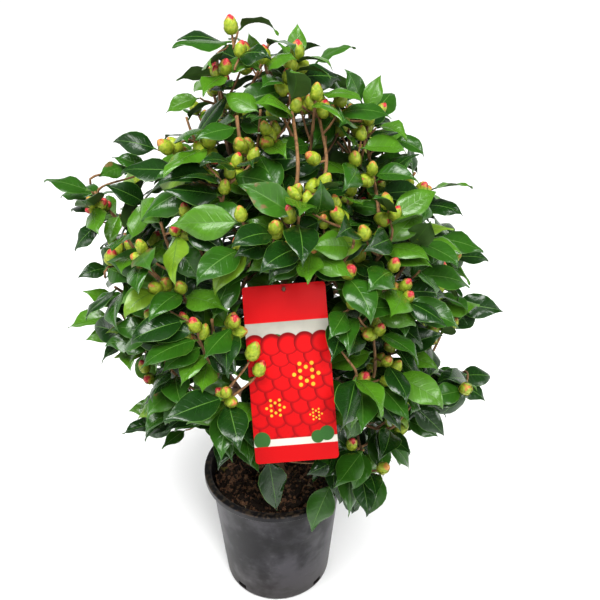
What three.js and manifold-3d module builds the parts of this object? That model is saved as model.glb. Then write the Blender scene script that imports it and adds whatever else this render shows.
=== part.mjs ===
import * as THREE from 'three';
import { ConvexGeometry } from 'three/addons/geometries/ConvexGeometry.js';
import { mergeVertices } from 'three/addons/utils/BufferGeometryUtils.js';
import Module from 'manifold-3d';

// A camellia shrub in bud, standing in its nursery pot with its label. Millimetres, +Z up.
// The origin is the middle of the pot's flat underside. An azimuth is in degrees, counted from
// the front, which is -Y, towards the right, which is +X.

// Gap that is kept between neighbouring solids
const gap = 0.3;
const mergeDistance = 1e-4;

// Pot: a thin-walled nursery container with a flanged rim and notches at the foot for drainage
const potHeight = 212;
const rimRadius = 110;
const rimDepth = 10;
const rimWidth = 10.4;
const rimBevel = 2;
const stepDepth = 8.5;
const stepOut = 1.6;
const stepBevel = 0.6;
const wallTopRadius = 99.8;
const wallFootRadius = 84.8;
const wallThickness = 2;
const floorThickness = 2.4;
const footRounding = 12;
const footRimRadius = 72;
const potSides = 28;
const notchCount = 4;
const notchFirstAzimuth = -41;
const notchWidth = 16;
const notchHeight = 9;
const notchDepth = 14;

// Compost, up to its surface
const soilLevel = 190;
const soilSides = potSides / 2;
const soilSeatRadius = 24;
const soilRings = [1, 0.88, 0.7, 0.48];
const soilLump = 4;
const soilSeed = 7;
const soilClearance = 0.9;

// Trunk, from its flat cut at the soil up to its fork
const trunkHeight = 145;
const trunkFootRadius = 11.5;
const trunkTopRadius = 8.5;
const trunkFlare = 6;
const trunkLean = new THREE.Vector3(5, 7, 0);
const trunkFlareFade = 9;
const trunkSides = 10;
const trunkSteps = 7;

// Label that hangs by its hole on a spur
const labelWidth = 90;
const labelHeight = 191;
const labelThickness = 1;
const labelCorner = 4;
const labelHoleRadius = 2.6;
const labelHoleDrop = 5.6;
const labelTop = new THREE.Vector3(18.8, -150, 608);
const labelLean = 29.8;
const labelTurn = 4.6;
const labelViewDepth = 170;
const labelOverlap = 9;
const spurRadius = 1.9;
const spurAlong = 0.94;
const spurSides = 6;
const spurAhead = 5;

// Limbs: the sides and steps of their tubes, and how far they turn up at the tip
const boughShape = { sides: 5, steps: 4, tipRadius: 3.4, rise: 0.5 };
const shootShape = { sides: 3, steps: 3, baseRadius: 3.2, tipRadius: 1.7, rise: 0.8 };
const sideShootShape = { sides: 3, steps: 2, baseRadius: 2.2, tipRadius: 1.7, rise: 0.8 };
const leavingShare = 0.36;
const arrivingShare = 0.3;
const bendAttempts = 24;
const bowStep = 0.05;
const liftStep = 0.04;
const boughLean = 0.55;
const shootLean = 0.7;
const shootStep = 0.17;
const sideShoots = 2;
const sideShootFirst = 0.34;
const sideShootStep = 0.26;
const sideShootLength = 105;
const sideShootTurn = 180;
const sideShootRetry = 215;
const sideShootRise = 0.3;

// Hulls that stand for the limbs when their clearance is worked out
const hullSides = 8;
const hullMargin = 1.08;
const hullRounds = 40;

// Leaves, as shares of their length, and buds
const leafLength = 76;
const leafWidth = 0.5;
const leafBelly = 0.34;
const leafShoulder = 0.68;
const leafShoulderWidth = 0.34;
const leafArch = 0.045;
const leafDroop = 0.05;
const leafSpacing = 28;
const leafHang = 0.3;
const leafOpening = 70;
const leafClosing = 22;
const leafOutward = 0.2;
const leafLevel = 0.6;
const leafFacing = 0.7;
const leafAttempts = 7;
const leafRetry = 51;
const leafStretch = [0.97, 0.14];
const leafCluster = 12;
const goldenAngle = 137.5;
const budLength = 22;
const budRadius = 6.2;
const budSunk = 4;
const lowestLeaf = 224;
const lowestShoot = 254;

// Reach of the shoots' tips from the middle of the crown, by height
const crownFoot = new THREE.Vector3(28, 6, 250);
const crownTop = new THREE.Vector3(-8, 0, 850);
const crownReach = [
  [250, 95], [330, 150], [420, 186], [520, 222], [600, 212], [680, 178], [740, 122], [800, 66], [850, 34],
];

// Boughs: what each grows from and how far along it, its base radius, and the azimuth, reach
// and height of its tip. Then its shoots: the first goes straight on to the greater height, and
// the others fan out to either side, down to the lesser height. Some reach past the crown.
const boughs = {
  right_low: {
    from: 'trunk', along: 0.36, radius: 5, tip: [72, 108, 345],
    shoots: 2, fan: -36, heights: [365, 430], past: 56,
  },
  left_low: {
    from: 'trunk', along: 0.43, radius: 5, tip: [-62, 96, 380],
    shoots: 2, fan: 50, heights: [445, 500], past: -10,
  },
  back_low: {
    from: 'trunk', along: 0.5, radius: 5, tip: [176, 100, 350],
    shoots: 3, fan: 110, heights: [350, 430], past: 0,
  },
  front_low: {
    from: 'trunk', along: 0.57, radius: 5, tip: [38, 96, 300],
    shoots: 2, fan: 24, heights: [262, 325], past: 30,
  },
  right: {
    from: 'trunk', along: 0.65, radius: 5.6, tip: [82, 112, 420],
    shoots: 2, fan: -26, heights: [505, 590], past: 14,
  },
  left: {
    from: 'trunk', along: 0.72, radius: 5.8, tip: [-88, 105, 500],
    shoots: 3, fan: 56, heights: [510, 665], past: 34,
  },
  front: {
    from: 'trunk', along: 0.79, radius: 6, tip: [9.6, 112.6, 578],
    shoots: 2, fan: 34, heights: [660, 695], past: 10,
  },
  back_left: {
    from: 'trunk', along: 0.84, radius: 5.6, tip: [-146, 105, 450],
    shoots: 3, fan: 64, heights: [500, 630], past: 0,
  },
  back_right: {
    from: 'trunk', along: 0.9, radius: 5.6, tip: [140, 105, 460],
    shoots: 3, fan: 64, heights: [500, 630], past: 0,
  },
  leader_left: {
    from: 'trunk', along: 1, radius: 7, tip: [-60, 42, 640],
    shoots: 3, fan: 120, heights: [740, 818], past: 0,
  },
  leader_right: {
    from: 'leader_left', along: 0.14, radius: 6, tip: [76, 80, 565],
    shoots: 3, fan: 70, heights: [655, 745], past: 0,
  },
  leader_back: {
    from: 'leader_left', along: 0.34, radius: 5.4, tip: [158, 60, 615],
    shoots: 3, fan: 130, heights: [675, 775], past: 0,
  },
  leader_centre: {
    from: 'front', along: 0.4, radius: 5.2, tip: [36, 60, 600],
    shoots: 2, fan: -60, heights: [712, 785], past: 14,
  },
  left_front: {
    from: 'left', along: 0.34, radius: 5, tip: [-38, 112, 480],
    shoots: 2, fan: 36, heights: [590, 675], past: 0,
  },
  right_front: {
    from: 'right', along: 0.34, radius: 5, tip: [44, 112, 460],
    shoots: 3, fan: 44, heights: [530, 625], past: 0,
  },
  front_mid: {
    from: 'front_low', along: 0.36, radius: 4.8, tip: [-14, 116, 400],
    shoots: 2, fan: -24, heights: [440, 520], past: 10,
  },
};
const fanShares = [0, 0.5, -0.5];

// Vectors and chance
const up = new THREE.Vector3(0, 0, 1);
const radians = THREE.MathUtils.degToRad;

function vector(x, y, z) {
  return new THREE.Vector3(x, y, z);
}

function outward(azimuth) {
  return vector(Math.sin(radians(azimuth)), -Math.cos(radians(azimuth)), 0);
}

function place(azimuth, reach, height) {
  return outward(azimuth).multiplyScalar(reach).setZ(height);
}

function crownMiddle(height) {
  return crownFoot.clone().lerp(crownTop, (height - crownFoot.z) / (crownTop.z - crownFoot.z)).setZ(0);
}

function frameOn(direction) {
  const steep = Math.abs(direction.z) > 0.9;
  const side = vector().crossVectors(direction, steep ? vector(1, 0, 0) : up).normalize();
  return { side, top: vector().crossVectors(side, direction) };
}

function seeded(seed) {
  let state = seed * 2654435761 >>> 0;
  return () => {
    state = (state + 0x6D2B79F5) >>> 0;
    let mixed = Math.imul(state ^ (state >>> 15), state | 1);
    mixed ^= mixed + Math.imul(mixed ^ (mixed >>> 7), mixed | 61);
    return ((mixed ^ (mixed >>> 14)) >>> 0) / 4294967296;
  };
}

function spread(random, amount) {
  return (random() * 2 - 1) * amount;
}

function reachAt(height) {
  const above = crownReach.findIndex(([level]) => level >= height);
  if (above === 0) return crownReach[0][1];
  if (above < 0) return crownReach[crownReach.length - 1][1];
  const [low, lowReach] = crownReach[above - 1];
  const [high, highReach] = crownReach[above];
  return THREE.MathUtils.mapLinear(height, low, high, lowReach, highReach);
}

// Solids: a closed geometry is cleaned to bare positions, and joined or cut where needed
const wasm = await Module();
wasm.setup();

function cleaned(geometry) {
  const bare = new THREE.BufferGeometry();
  bare.setAttribute('position', geometry.getAttribute('position').clone());
  if (geometry.index) bare.setIndex(geometry.index.clone());
  return mergeVertices(bare, mergeDistance);
}

function toSolid(geometry) {
  const closed = cleaned(geometry);
  const vertProperties = new Float32Array(closed.getAttribute('position').array);
  const triVerts = new Uint32Array(closed.index.array);
  return new wasm.Manifold(new wasm.Mesh({ numProp: 3, vertProperties, triVerts }));
}

function toGeometry(solid) {
  const mesh = solid.getMesh();
  const geometry = new THREE.BufferGeometry();
  geometry.setAttribute('position', new THREE.BufferAttribute(new Float32Array(mesh.vertProperties), 3));
  geometry.setIndex(new THREE.BufferAttribute(new Uint32Array(mesh.triVerts), 1));
  geometry.computeVertexNormals();
  return geometry;
}

function mapped(geometry, move) {
  const closed = cleaned(geometry);
  const positions = closed.getAttribute('position');
  for (let i = 0; i < positions.count; i += 1) {
    const moved = move(vector(positions.getX(i), positions.getY(i), positions.getZ(i)));
    positions.setXYZ(i, moved.x, moved.y, moved.z);
  }
  return closed;
}

function cornersOf(geometry) {
  const positions = geometry.getAttribute('position');
  return Array.from({ length: positions.count }, (_, i) => vector().fromBufferAttribute(positions, i));
}

// Tubes: a closed cylinder bent along a curve. Its sides keep their radius at the corners.
function bent(curve, sides, steps, radiusAt) {
  const frames = curve.computeFrenetFrames(steps, false);
  return mapped(new THREE.CylinderGeometry(1, 1, 1, sides, steps), (corner) => {
    const step = Math.round((corner.y + 0.5) * steps);
    const along = step / steps;
    const centre = curve.getPointAt(along);
    const radius = radiusAt(along);
    return centre
      .addScaledVector(frames.normals[step], -corner.x * radius)
      .addScaledVector(frames.binormals[step], corner.z * radius);
  });
}

// The middle of a bent tube, which runs straight from step to step
function middleAt(shoot, along) {
  const step = Math.min(Math.floor(along * shoot.steps), shoot.steps - 1);
  const from = shoot.curve.getPointAt(step / shoot.steps);
  const to = shoot.curve.getPointAt((step + 1) / shoot.steps);
  return from.lerp(to, along * shoot.steps - step);
}

// Clearance: the distance between two pieces' hulls, closed in on from their corners
function furthest(corners, direction) {
  let best = corners[0];
  let bestReach = -Infinity;
  for (const corner of corners) {
    const reach = corner.dot(direction);
    if (reach > bestReach) {
      best = corner;
      bestReach = reach;
    }
  }
  return best;
}

function isClear(piece, other, clearance) {
  if (piece.middle.distanceTo(other.middle) > piece.size + other.size + clearance) return true;
  const between = piece.middle.clone().sub(other.middle);
  for (let round = 0; round < hullRounds; round += 1) {
    const length = between.length();
    if (length < clearance) return false;
    const corner = furthest(piece.corners, between.clone().negate());
    const nearest = corner.clone().sub(furthest(other.corners, between));
    if (nearest.dot(between) / length > clearance) return true;
    const step = between.clone().sub(nearest);
    const share = Math.min(1, Math.max(0, between.dot(step) / step.lengthSq()));
    between.addScaledVector(step, -share);
  }
  return false;
}

function pieceOf(corners, node) {
  const middle = vector();
  for (const corner of corners) middle.addScaledVector(corner, 1 / corners.length);
  const size = Math.max(...corners.map((corner) => corner.distanceTo(middle)));
  return { corners, middle, size, node };
}

const placed = [];

function fits(piece, node, parent = '') {
  if (!isClear(piece, labelView, 0)) return false;
  return placed.every((other) => other.node === node || other.node === parent || isClear(piece, other, gap));
}

// The stretches of a tube, each a piece of its own. The first starts clear of what it grows from.
function stretches(curve, node, steps, radiusAt, skipped) {
  const length = curve.getLength();
  const pieces = [];
  for (let step = 0; step < steps; step += 1) {
    const corners = [];
    for (const end of [step, step + 1]) {
      const along = Math.max(end / steps, skipped / length);
      const centre = curve.getPointAt(along);
      const tangent = curve.getTangentAt(along);
      const { side, top } = frameOn(tangent);
      const radius = radiusAt(along) * hullMargin;
      for (let turn = 0; turn < hullSides; turn += 1) {
        const angle = turn * 2 * Math.PI / hullSides;
        corners.push(centre.clone()
          .addScaledVector(side, Math.cos(angle) * radius)
          .addScaledVector(top, Math.sin(angle) * radius));
      }
    }
    pieces.push(pieceOf(corners, node));
  }
  return pieces;
}

// A limb leaves its start on a heading and bends to its tip. It bows to one side and another
// until it is clear of the limbs that are there already.
function limb(name, start, heading, tip, settings) {
  const { parent, sides, steps, baseRadius, tipRadius, skipped, rise } = settings;
  const length = start.distanceTo(tip);
  const across = vector().crossVectors(tip.clone().sub(start), up).normalize();
  const radiusAt = (along) => baseRadius + (tipRadius - baseRadius) * along;
  for (let attempt = 0; attempt < bendAttempts; attempt += 1) {
    const bow = (attempt % 2 ? 1 : -1) * Math.ceil(attempt / 2) * bowStep * length;
    const lift = (attempt % 3 - 1) * liftStep * length * Math.min(attempt, 1);
    const first = start.clone().addScaledVector(heading, length * leavingShare);
    if (skipped > 0) first.addScaledVector(across, bow);
    const arriving = tip.clone().sub(start).normalize().addScaledVector(up, rise).normalize();
    const last = tip.clone().addScaledVector(across, bow / 2);
    last.addScaledVector(arriving, -length * arrivingShare);
    last.z += lift;
    const curve = new THREE.CubicBezierCurve3(start, first, last, tip);
    const pieces = stretches(curve, name, steps, radiusAt, skipped);
    const clear = pieces.every((piece, step) => fits(piece, name, step ? '' : parent));
    if (clear) return { curve, pieces, radiusAt, sides, steps, length: curve.getLength() };
  }
  return null;
}

// Pot
function pot() {
  const underRim = potHeight - rimDepth;
  const underStep = underRim - stepDepth;
  const slope = (wallTopRadius - wallFootRadius) / (underStep - footRounding);
  const footRadius = wallFootRadius - footRounding;
  const outline = [new THREE.Vector2(0, 0), new THREE.Vector2(footRadius, 0)];
  for (let turn = 1; turn <= 3; turn += 1) {
    const angle = turn * Math.PI / 6;
    const x = footRadius + footRounding * Math.sin(angle);
    outline.push(new THREE.Vector2(x, footRounding * (1 - Math.cos(angle))));
  }
  outline.push(
    new THREE.Vector2(wallTopRadius, underStep),
    new THREE.Vector2(wallTopRadius + stepOut, underStep + stepBevel),
    new THREE.Vector2(wallTopRadius + stepOut, underRim),
    new THREE.Vector2(rimRadius, underRim),
    new THREE.Vector2(rimRadius, potHeight - rimBevel),
    new THREE.Vector2(rimRadius - rimBevel, potHeight),
    new THREE.Vector2(rimRadius - rimWidth, potHeight),
    new THREE.Vector2(innerRadius(underStep), underStep),
    new THREE.Vector2(innerRadius(footRounding), footRounding),
    new THREE.Vector2(footRimRadius, floorThickness),
    new THREE.Vector2(0, floorThickness),
  );
  const shell = new THREE.LatheGeometry(outline, potSides);
  shell.rotateX(Math.PI / 2);
  let solid = toSolid(shell);
  for (let notch = 0; notch < notchCount; notch += 1) {
    const azimuth = notchFirstAzimuth + notch * 360 / notchCount;
    const cutter = new THREE.BoxGeometry(notchWidth, notchDepth, notchHeight);
    cutter.rotateZ(radians(azimuth));
    const middle = place(azimuth, wallFootRadius - footRounding / 3, footRounding);
    cutter.translate(middle.x, middle.y, middle.z);
    solid = solid.subtract(toSolid(cutter));
  }
  return toGeometry(solid);
}

function innerRadius(height) {
  const underStep = potHeight - rimDepth - stepDepth;
  const outer = THREE.MathUtils.mapLinear(height, footRounding, underStep, wallFootRadius, wallTopRadius);
  return outer - wallThickness;
}

// Compost: it fills the pot and lies in lumps, level where the stem stands
function compost() {
  const random = seeded(soilSeed);
  const edge = innerRadius(soilLevel) - soilClearance;
  const outline = [
    new THREE.Vector2(0, floorThickness + gap),
    new THREE.Vector2(footRimRadius - gap, floorThickness + gap),
    new THREE.Vector2(innerRadius(footRounding) - soilClearance, footRounding + 1),
    new THREE.Vector2(edge - soilClearance, soilLevel - soilLump * 2),
  ];
  for (const ring of soilRings) outline.push(new THREE.Vector2(edge * ring, soilLevel));
  outline.push(new THREE.Vector2(soilSeatRadius, soilLevel), new THREE.Vector2(0, soilLevel));
  const lumps = new Map();
  const shape = new THREE.LatheGeometry(outline, soilSides);
  shape.rotateX(Math.PI / 2);
  return mapped(shape, (corner) => {
    const key = `${corner.x.toFixed(2)} ${corner.y.toFixed(2)}`;
    const onTop = corner.z > soilLevel - 0.1 && Math.hypot(corner.x, corner.y) > soilSeatRadius + 1;
    if (onTop && !lumps.has(key)) lumps.set(key, spread(random, soilLump));
    return onTop ? corner.setZ(soilLevel + lumps.get(key) - soilLump / 2) : corner;
  });
}

// Trunk
const trunkFoot = vector(0, 0, soilLevel + gap);
const trunkTop = vector(0, 0, soilLevel + trunkHeight).add(trunkLean);
const trunkCurve = new THREE.CubicBezierCurve3(
  trunkFoot,
  trunkFoot.clone().add(vector(0, 0, trunkHeight / 3)),
  trunkTop.clone().sub(vector(0, 0, trunkHeight / 3)),
  trunkTop,
);

function trunkRadius(along) {
  const flare = trunkFlare * Math.exp(-along * trunkFlareFade);
  return trunkFootRadius + (trunkTopRadius - trunkFootRadius) * along + flare;
}

// Label
const labelFacing = new THREE.Matrix4()
  .makeRotationX(radians(90 - labelLean))
  .multiply(new THREE.Matrix4().makeRotationZ(radians(labelTurn)));

function labelPoint(x, y, z) {
  return vector(x, y, z).applyMatrix4(labelFacing).add(labelTop);
}

function label() {
  const half = labelWidth / 2;
  const sheet = new THREE.Shape();
  sheet.moveTo(half - labelCorner, 0);
  sheet.absarc(-half + labelCorner, -labelCorner, labelCorner, Math.PI / 2, Math.PI, false);
  sheet.absarc(-half + labelCorner, labelCorner - labelHeight, labelCorner, Math.PI, Math.PI * 1.5, false);
  sheet.absarc(half - labelCorner, labelCorner - labelHeight, labelCorner, -Math.PI / 2, 0, false);
  sheet.absarc(half - labelCorner, -labelCorner, labelCorner, 0, Math.PI / 2, false);
  const hole = new THREE.Path();
  hole.absarc(0, -labelHoleDrop, labelHoleRadius, 0, Math.PI * 2, true);
  sheet.holes.push(hole);
  const plate = new THREE.ExtrudeGeometry(sheet, {
    depth: labelThickness, bevelEnabled: false, curveSegments: 3,
  });
  return mapped(plate, (corner) => labelPoint(corner.x, corner.y, corner.z - labelThickness / 2));
}

function labelBox(width, top, bottom, back, front) {
  const corners = [];
  for (const x of [-width / 2, width / 2]) {
    for (const y of [top, bottom]) {
      for (const z of [back, front]) corners.push(labelPoint(x, y, z));
    }
  }
  return pieceOf(corners, 'label');
}

// The spur runs straight from its bough through the label's hole
function spurFrom(start) {
  const hole = labelPoint(0, -labelHoleDrop, 0);
  const ahead = hole.clone().sub(start).setLength(spurAhead);
  return new THREE.LineCurve3(start, hole.add(ahead));
}

// A leaf: broadest below its middle, with raised sides and a hanging tip. It is the hull of its
// six corners, so its top is arched and its keel runs straight from root to tip.
function leafGeometry(root, along, face, length) {
  const side = vector().crossVectors(face, along).normalize();
  const corner = (x, y, z) => root.clone()
    .addScaledVector(along, x * length)
    .addScaledVector(side, y * length)
    .addScaledVector(face, z * length);
  return cleaned(new ConvexGeometry([
    corner(0, 0, 0),
    corner(leafBelly, -leafWidth / 2, leafArch),
    corner(leafBelly, leafWidth / 2, leafArch),
    corner(leafShoulder, -leafShoulderWidth / 2, leafArch * 0.7),
    corner(leafShoulder, leafShoulderWidth / 2, leafArch * 0.7),
    corner(1, 0, -leafDroop),
  ]));
}

function budGeometry(root, along, length) {
  const { side, top } = frameOn(along);
  return mapped(new THREE.SphereGeometry(1, 5, 2), (corner) => root.clone()
    .addScaledVector(along, (corner.y + 1) / 2 * length - budSunk)
    .addScaledVector(side, corner.x * budRadius)
    .addScaledVector(top, corner.z * budRadius));
}

// Nodes of the model
const shrub = new THREE.Group();
const materials = {
  pot: { color: 0x2b2a30, roughness: 0.5, metalness: 0 },
  compost: { color: 0x2d1d14, roughness: 0.95, metalness: 0 },
  bark: { color: 0x7a5b43, roughness: 0.8, metalness: 0 },
  foliage: { color: 0x2f4f1f, roughness: 0.35, metalness: 0 },
  label: { color: 0xb4202c, roughness: 0.4, metalness: 0 },
};

function addNode(name, kind, geometry) {
  const mesh = new THREE.Mesh(geometry, new THREE.MeshStandardMaterial(materials[kind]));
  mesh.name = name;
  shrub.add(mesh);
}

addNode('pot', 'pot', pot());
addNode('compost', 'compost', compost());
addNode('label', 'label', label());

// The label takes its place first, and nothing grows in front of it but for its edges
placed.push(labelBox(labelWidth, 0, -labelHeight, -labelThickness / 2, labelThickness / 2));
const labelView = labelBox(
  labelWidth - labelOverlap * 2, -labelOverlap, labelOverlap - labelHeight, 0, labelViewDepth,
);

// Limbs: the trunk, then the boughs, each cut 0.3 mm clear of what it grows from
const limbs = {
  trunk: {
    curve: trunkCurve,
    radiusAt: trunkRadius,
    sides: trunkSides,
    steps: trunkSteps,
    length: trunkCurve.getLength(),
  },
};
limbs.trunk.pieces = stretches(trunkCurve, 'trunk', trunkSteps, trunkRadius, 0);
placed.push(...limbs.trunk.pieces);
addNode('trunk', 'bark', bent(trunkCurve, trunkSides, trunkSteps, trunkRadius));

function grown(parent) {
  const { curve, sides, steps, radiusAt } = limbs[parent];
  const cornerGap = gap / Math.cos(Math.PI / sides) + 0.05;
  return toSolid(bent(curve, sides, steps, (along) => radiusAt(along) + cornerGap));
}

function startOn(parent, along) {
  const { curve, radiusAt } = limbs[parent];
  const heading = curve.getTangentAt(along);
  const start = curve.getPointAt(along);
  if (along === 1) start.addScaledVector(heading, gap);
  return { start, heading, skipped: along === 1 ? 0 : radiusAt(along) * 1.5 };
}

for (const [name, bough] of Object.entries(boughs)) {
  const { start, heading, skipped } = startOn(bough.from, bough.along);
  const tip = place(...bough.tip);
  const leaving = heading.clone().multiplyScalar(boughLean);
  if (bough.along < 1) leaving.add(tip.clone().sub(start).setZ(0).normalize());
  const made = limb(name, start, leaving.normalize(), tip, {
    ...boughShape, parent: bough.from, baseRadius: bough.radius, skipped,
  });
  if (!made) throw new Error(`no clear way for bough ${name}`);
  limbs[name] = made;
  let solid = toSolid(bent(made.curve, made.sides, made.steps, made.radiusAt));
  if (name === 'front') {
    const spur = spurFrom(middleAt(made, spurAlong));
    solid = solid.add(toSolid(bent(spur, spurSides, 1, () => spurRadius)));
    made.pieces.push(...stretches(spur, name, 1, () => spurRadius, 0));
  }
  if (bough.along < 1) solid = solid.subtract(grown(bough.from));
  placed.push(...made.pieces);
  addNode(`bough_${name}`, 'bark', toGeometry(solid));
}

// Masses: each is one shoot from a bough with its side shoots, leaves and buds. All shoots are
// placed before any leaf, and the leaves are dealt out in turn, so that no mass crowds another.
const masses = [];
for (const [name, bough] of Object.entries(boughs)) {
  for (let order = 0; order < bough.shoots; order += 1) {
    const random = seeded(masses.length + 101);
    const [low, high] = bough.heights;
    const height = high - (high - low) * order / (bough.shoots - 1);
    const azimuth = bough.tip[0] + bough.fan * fanShares[order] + spread(random, 4);
    const reach = reachAt(height) * (0.96 + 0.08 * random()) + (order ? 0 : bough.past);
    const tip = place(azimuth, reach, height).add(crownMiddle(height));
    const along = 1 - shootStep * order;
    masses.push({ name: `${name}_${order + 1}`, bough: name, along, tip, seed: masses.length * 100 });
  }
}

for (const mass of masses) {
  const { start, heading, skipped } = startOn(mass.bough, mass.along);
  const leaving = heading.clone();
  if (mass.along < 1) leaving.multiplyScalar(shootLean).add(mass.tip.clone().sub(start).normalize());
  const main = limb(mass.name, start, leaving.normalize(), mass.tip, {
    ...shootShape, parent: mass.bough, skipped,
  });
  if (!main) throw new Error(`no clear way for shoot ${mass.name}`);
  mass.shoots = [main];
  placed.push(...main.pieces);
}

for (const mass of masses) {
  const main = mass.shoots[0];
  for (let order = 0; order < (mass.along === 1 ? sideShoots : 1); order += 1) {
    const random = seeded(mass.seed + 11 + order);
    const along = sideShootFirst + sideShootStep * order + spread(random, 0.05);
    const start = middleAt(main, along);
    const tangent = main.curve.getTangentAt(along);
    const side = vector().crossVectors(tangent, up).normalize();
    const length = sideShootLength * (0.8 + 0.4 * random());
    const turn = spread(random, 25);
    for (let attempt = 0; attempt < 6; attempt += 1) {
      const angle = turn + order * sideShootTurn + attempt * sideShootRetry;
      const around = side.clone().applyAxisAngle(tangent, radians(angle));
      const heading = tangent.clone().add(around).normalize();
      const tip = start.clone().addScaledVector(heading, length * 0.8);
      tip.addScaledVector(up, length * sideShootRise);
      const reach = tip.clone().sub(crownMiddle(tip.z)).setZ(0).length();
      const inside = reach < reachAt(tip.z) * 1.08 && tip.z < crownTop.z;
      if (inside && tip.z > lowestShoot) {
        const made = limb(mass.name, start, heading, tip, {
          ...sideShootShape, parent: mass.bough, skipped: 0,
        });
        if (made) {
          mass.shoots.push(made);
          placed.push(...made.pieces);
          break;
        }
      }
    }
  }
}

function leafOn(mass, shoot, order, along, tally) {
  const root = middleAt(shoot, along);
  const tangent = shoot.curve.getTangentAt(along);
  const side = vector().crossVectors(tangent, up);
  if (side.length() < 0.2) side.set(1, 0, 0);
  side.normalize();
  const random = seeded(mass.seed + 31 * tally + order + 5000);
  const length = leafLength * (0.84 + 0.32 * random());
  const jitter = spread(random, 18);
  const roll = spread(random, 0.35);
  const open = radians(leafOpening - leafClosing * along + spread(random, 8));
  const away = root.clone().sub(crownMiddle(root.z)).setZ(0).normalize();
  for (let attempt = 0; attempt < leafAttempts; attempt += 1) {
    const angle = order * goldenAngle + jitter + attempt * leafRetry;
    const around = side.clone().applyAxisAngle(tangent, radians(angle));
    const direction = tangent.clone().multiplyScalar(Math.cos(open)).addScaledVector(around, Math.sin(open));
    direction.addScaledVector(away, leafOutward).setZ(direction.z * leafLevel - leafHang).normalize();
    const face = up.clone().addScaledVector(away, leafFacing).addScaledVector(side, roll);
    face.addScaledVector(direction, -face.dot(direction)).normalize();
    const geometry = leafGeometry(root, direction, face, length);
    const piece = pieceOf(cornersOf(geometry), mass.name);
    const lowest = Math.min(...piece.corners.map((corner) => corner.z));
    const ownLeaves = mass.leaves.every((leaf) => (
      leaf.root.distanceTo(root) < leafCluster || isClear(piece, leaf, gap)
    ));
    if (lowest > lowestLeaf && ownLeaves && fits(piece, mass.name)) {
      piece.root = root;
      mass.leaves.push(piece);
      mass.parts.push(geometry);
      placed.push(piece);
      return;
    }
  }
}

for (const mass of masses) {
  mass.leaves = [];
  mass.parts = mass.shoots.map((shoot) => bent(shoot.curve, shoot.sides, shoot.steps, shoot.radiusAt));
}

// Buds: one at the end of each shoot
for (const mass of masses) {
  mass.shoots.forEach((shoot, index) => {
    const random = seeded(mass.seed + 71 + index);
    const tangent = shoot.curve.getTangentAt(1);
    const along = tangent.clone().addScaledVector(outward(random() * 360), 0.1).normalize();
    const geometry = budGeometry(shoot.curve.getPointAt(1), along, budLength * (0.85 + 0.3 * random()));
    const piece = pieceOf(cornersOf(geometry), mass.name);
    if (fits(piece, mass.name)) {
      mass.parts.push(geometry);
      placed.push(piece);
    }
  });
}

// Leaves: from each shoot's tip down towards its foot
const [leafFirst, leafLast] = leafStretch;
const leafCount = (shoot) => Math.round(shoot.length * (leafFirst - leafLast) / leafSpacing);
const mostLeaves = Math.max(...masses.flatMap((mass) => mass.shoots.map(leafCount)));
for (let order = 0; order < mostLeaves; order += 1) {
  for (const mass of masses) {
    mass.shoots.forEach((shoot, index) => {
      const count = leafCount(shoot);
      if (order >= count) return;
      const along = leafFirst - (leafFirst - leafLast) * order / count;
      leafOn(mass, shoot, order, along, index + 1);
    });
  }
}

for (const mass of masses) {
  let solid = mass.parts.map(toSolid).reduce((whole, part) => whole.add(part));
  if (mass.along < 1) solid = solid.subtract(grown(mass.bough));
  addNode(`foliage_${mass.name}`, 'foliage', toGeometry(solid));
}

export default shrub;
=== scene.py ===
import math

import bpy
import numpy as np
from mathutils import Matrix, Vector, noise


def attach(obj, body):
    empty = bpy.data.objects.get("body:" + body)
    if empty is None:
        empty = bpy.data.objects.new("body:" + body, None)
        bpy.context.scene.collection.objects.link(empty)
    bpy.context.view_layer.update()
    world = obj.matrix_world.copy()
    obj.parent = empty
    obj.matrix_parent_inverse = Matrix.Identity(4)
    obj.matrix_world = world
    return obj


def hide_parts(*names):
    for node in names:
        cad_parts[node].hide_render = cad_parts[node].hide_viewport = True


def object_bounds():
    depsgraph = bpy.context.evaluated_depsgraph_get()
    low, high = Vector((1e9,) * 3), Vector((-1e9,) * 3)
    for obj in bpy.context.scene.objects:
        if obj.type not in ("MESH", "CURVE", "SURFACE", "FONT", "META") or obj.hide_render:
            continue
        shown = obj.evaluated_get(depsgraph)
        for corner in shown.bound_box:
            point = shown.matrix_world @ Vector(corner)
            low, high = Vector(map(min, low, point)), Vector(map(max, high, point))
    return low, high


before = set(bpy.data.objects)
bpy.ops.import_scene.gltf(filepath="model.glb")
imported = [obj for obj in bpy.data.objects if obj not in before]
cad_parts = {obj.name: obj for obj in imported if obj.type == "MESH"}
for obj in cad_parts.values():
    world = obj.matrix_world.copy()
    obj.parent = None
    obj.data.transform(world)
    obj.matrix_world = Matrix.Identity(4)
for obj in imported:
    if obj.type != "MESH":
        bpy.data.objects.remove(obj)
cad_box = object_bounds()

# A camellia shrub in bud, in its nursery pot with its label. Sizes are in millimetres here and
# become metres where a mesh is made. An azimuth is in degrees from the front, which is -Y,
# towards the right, which is +X.
METRES = 0.001
GAP = 0.3
UP = np.array([0.0, 0.0, 1.0])

# Camera, at the photograph's height and tilt
CAMERA_PLACE = np.array([36.8, -812.0, 967.5])
CAMERA_TILT = 29.8
CAMERA_LENS = 42
CAMERA_SENSOR = 36
PICTURE_MIDDLE = 300
PICTURE_FOCAL = 2 * PICTURE_MIDDLE * CAMERA_LENS / CAMERA_SENSOR
tilt = math.radians(CAMERA_TILT)
CAMERA_AHEAD = np.array([0, math.cos(tilt), -math.sin(tilt)])
CAMERA_ABOVE = np.array([0, math.sin(tilt), math.cos(tilt)])

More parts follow.
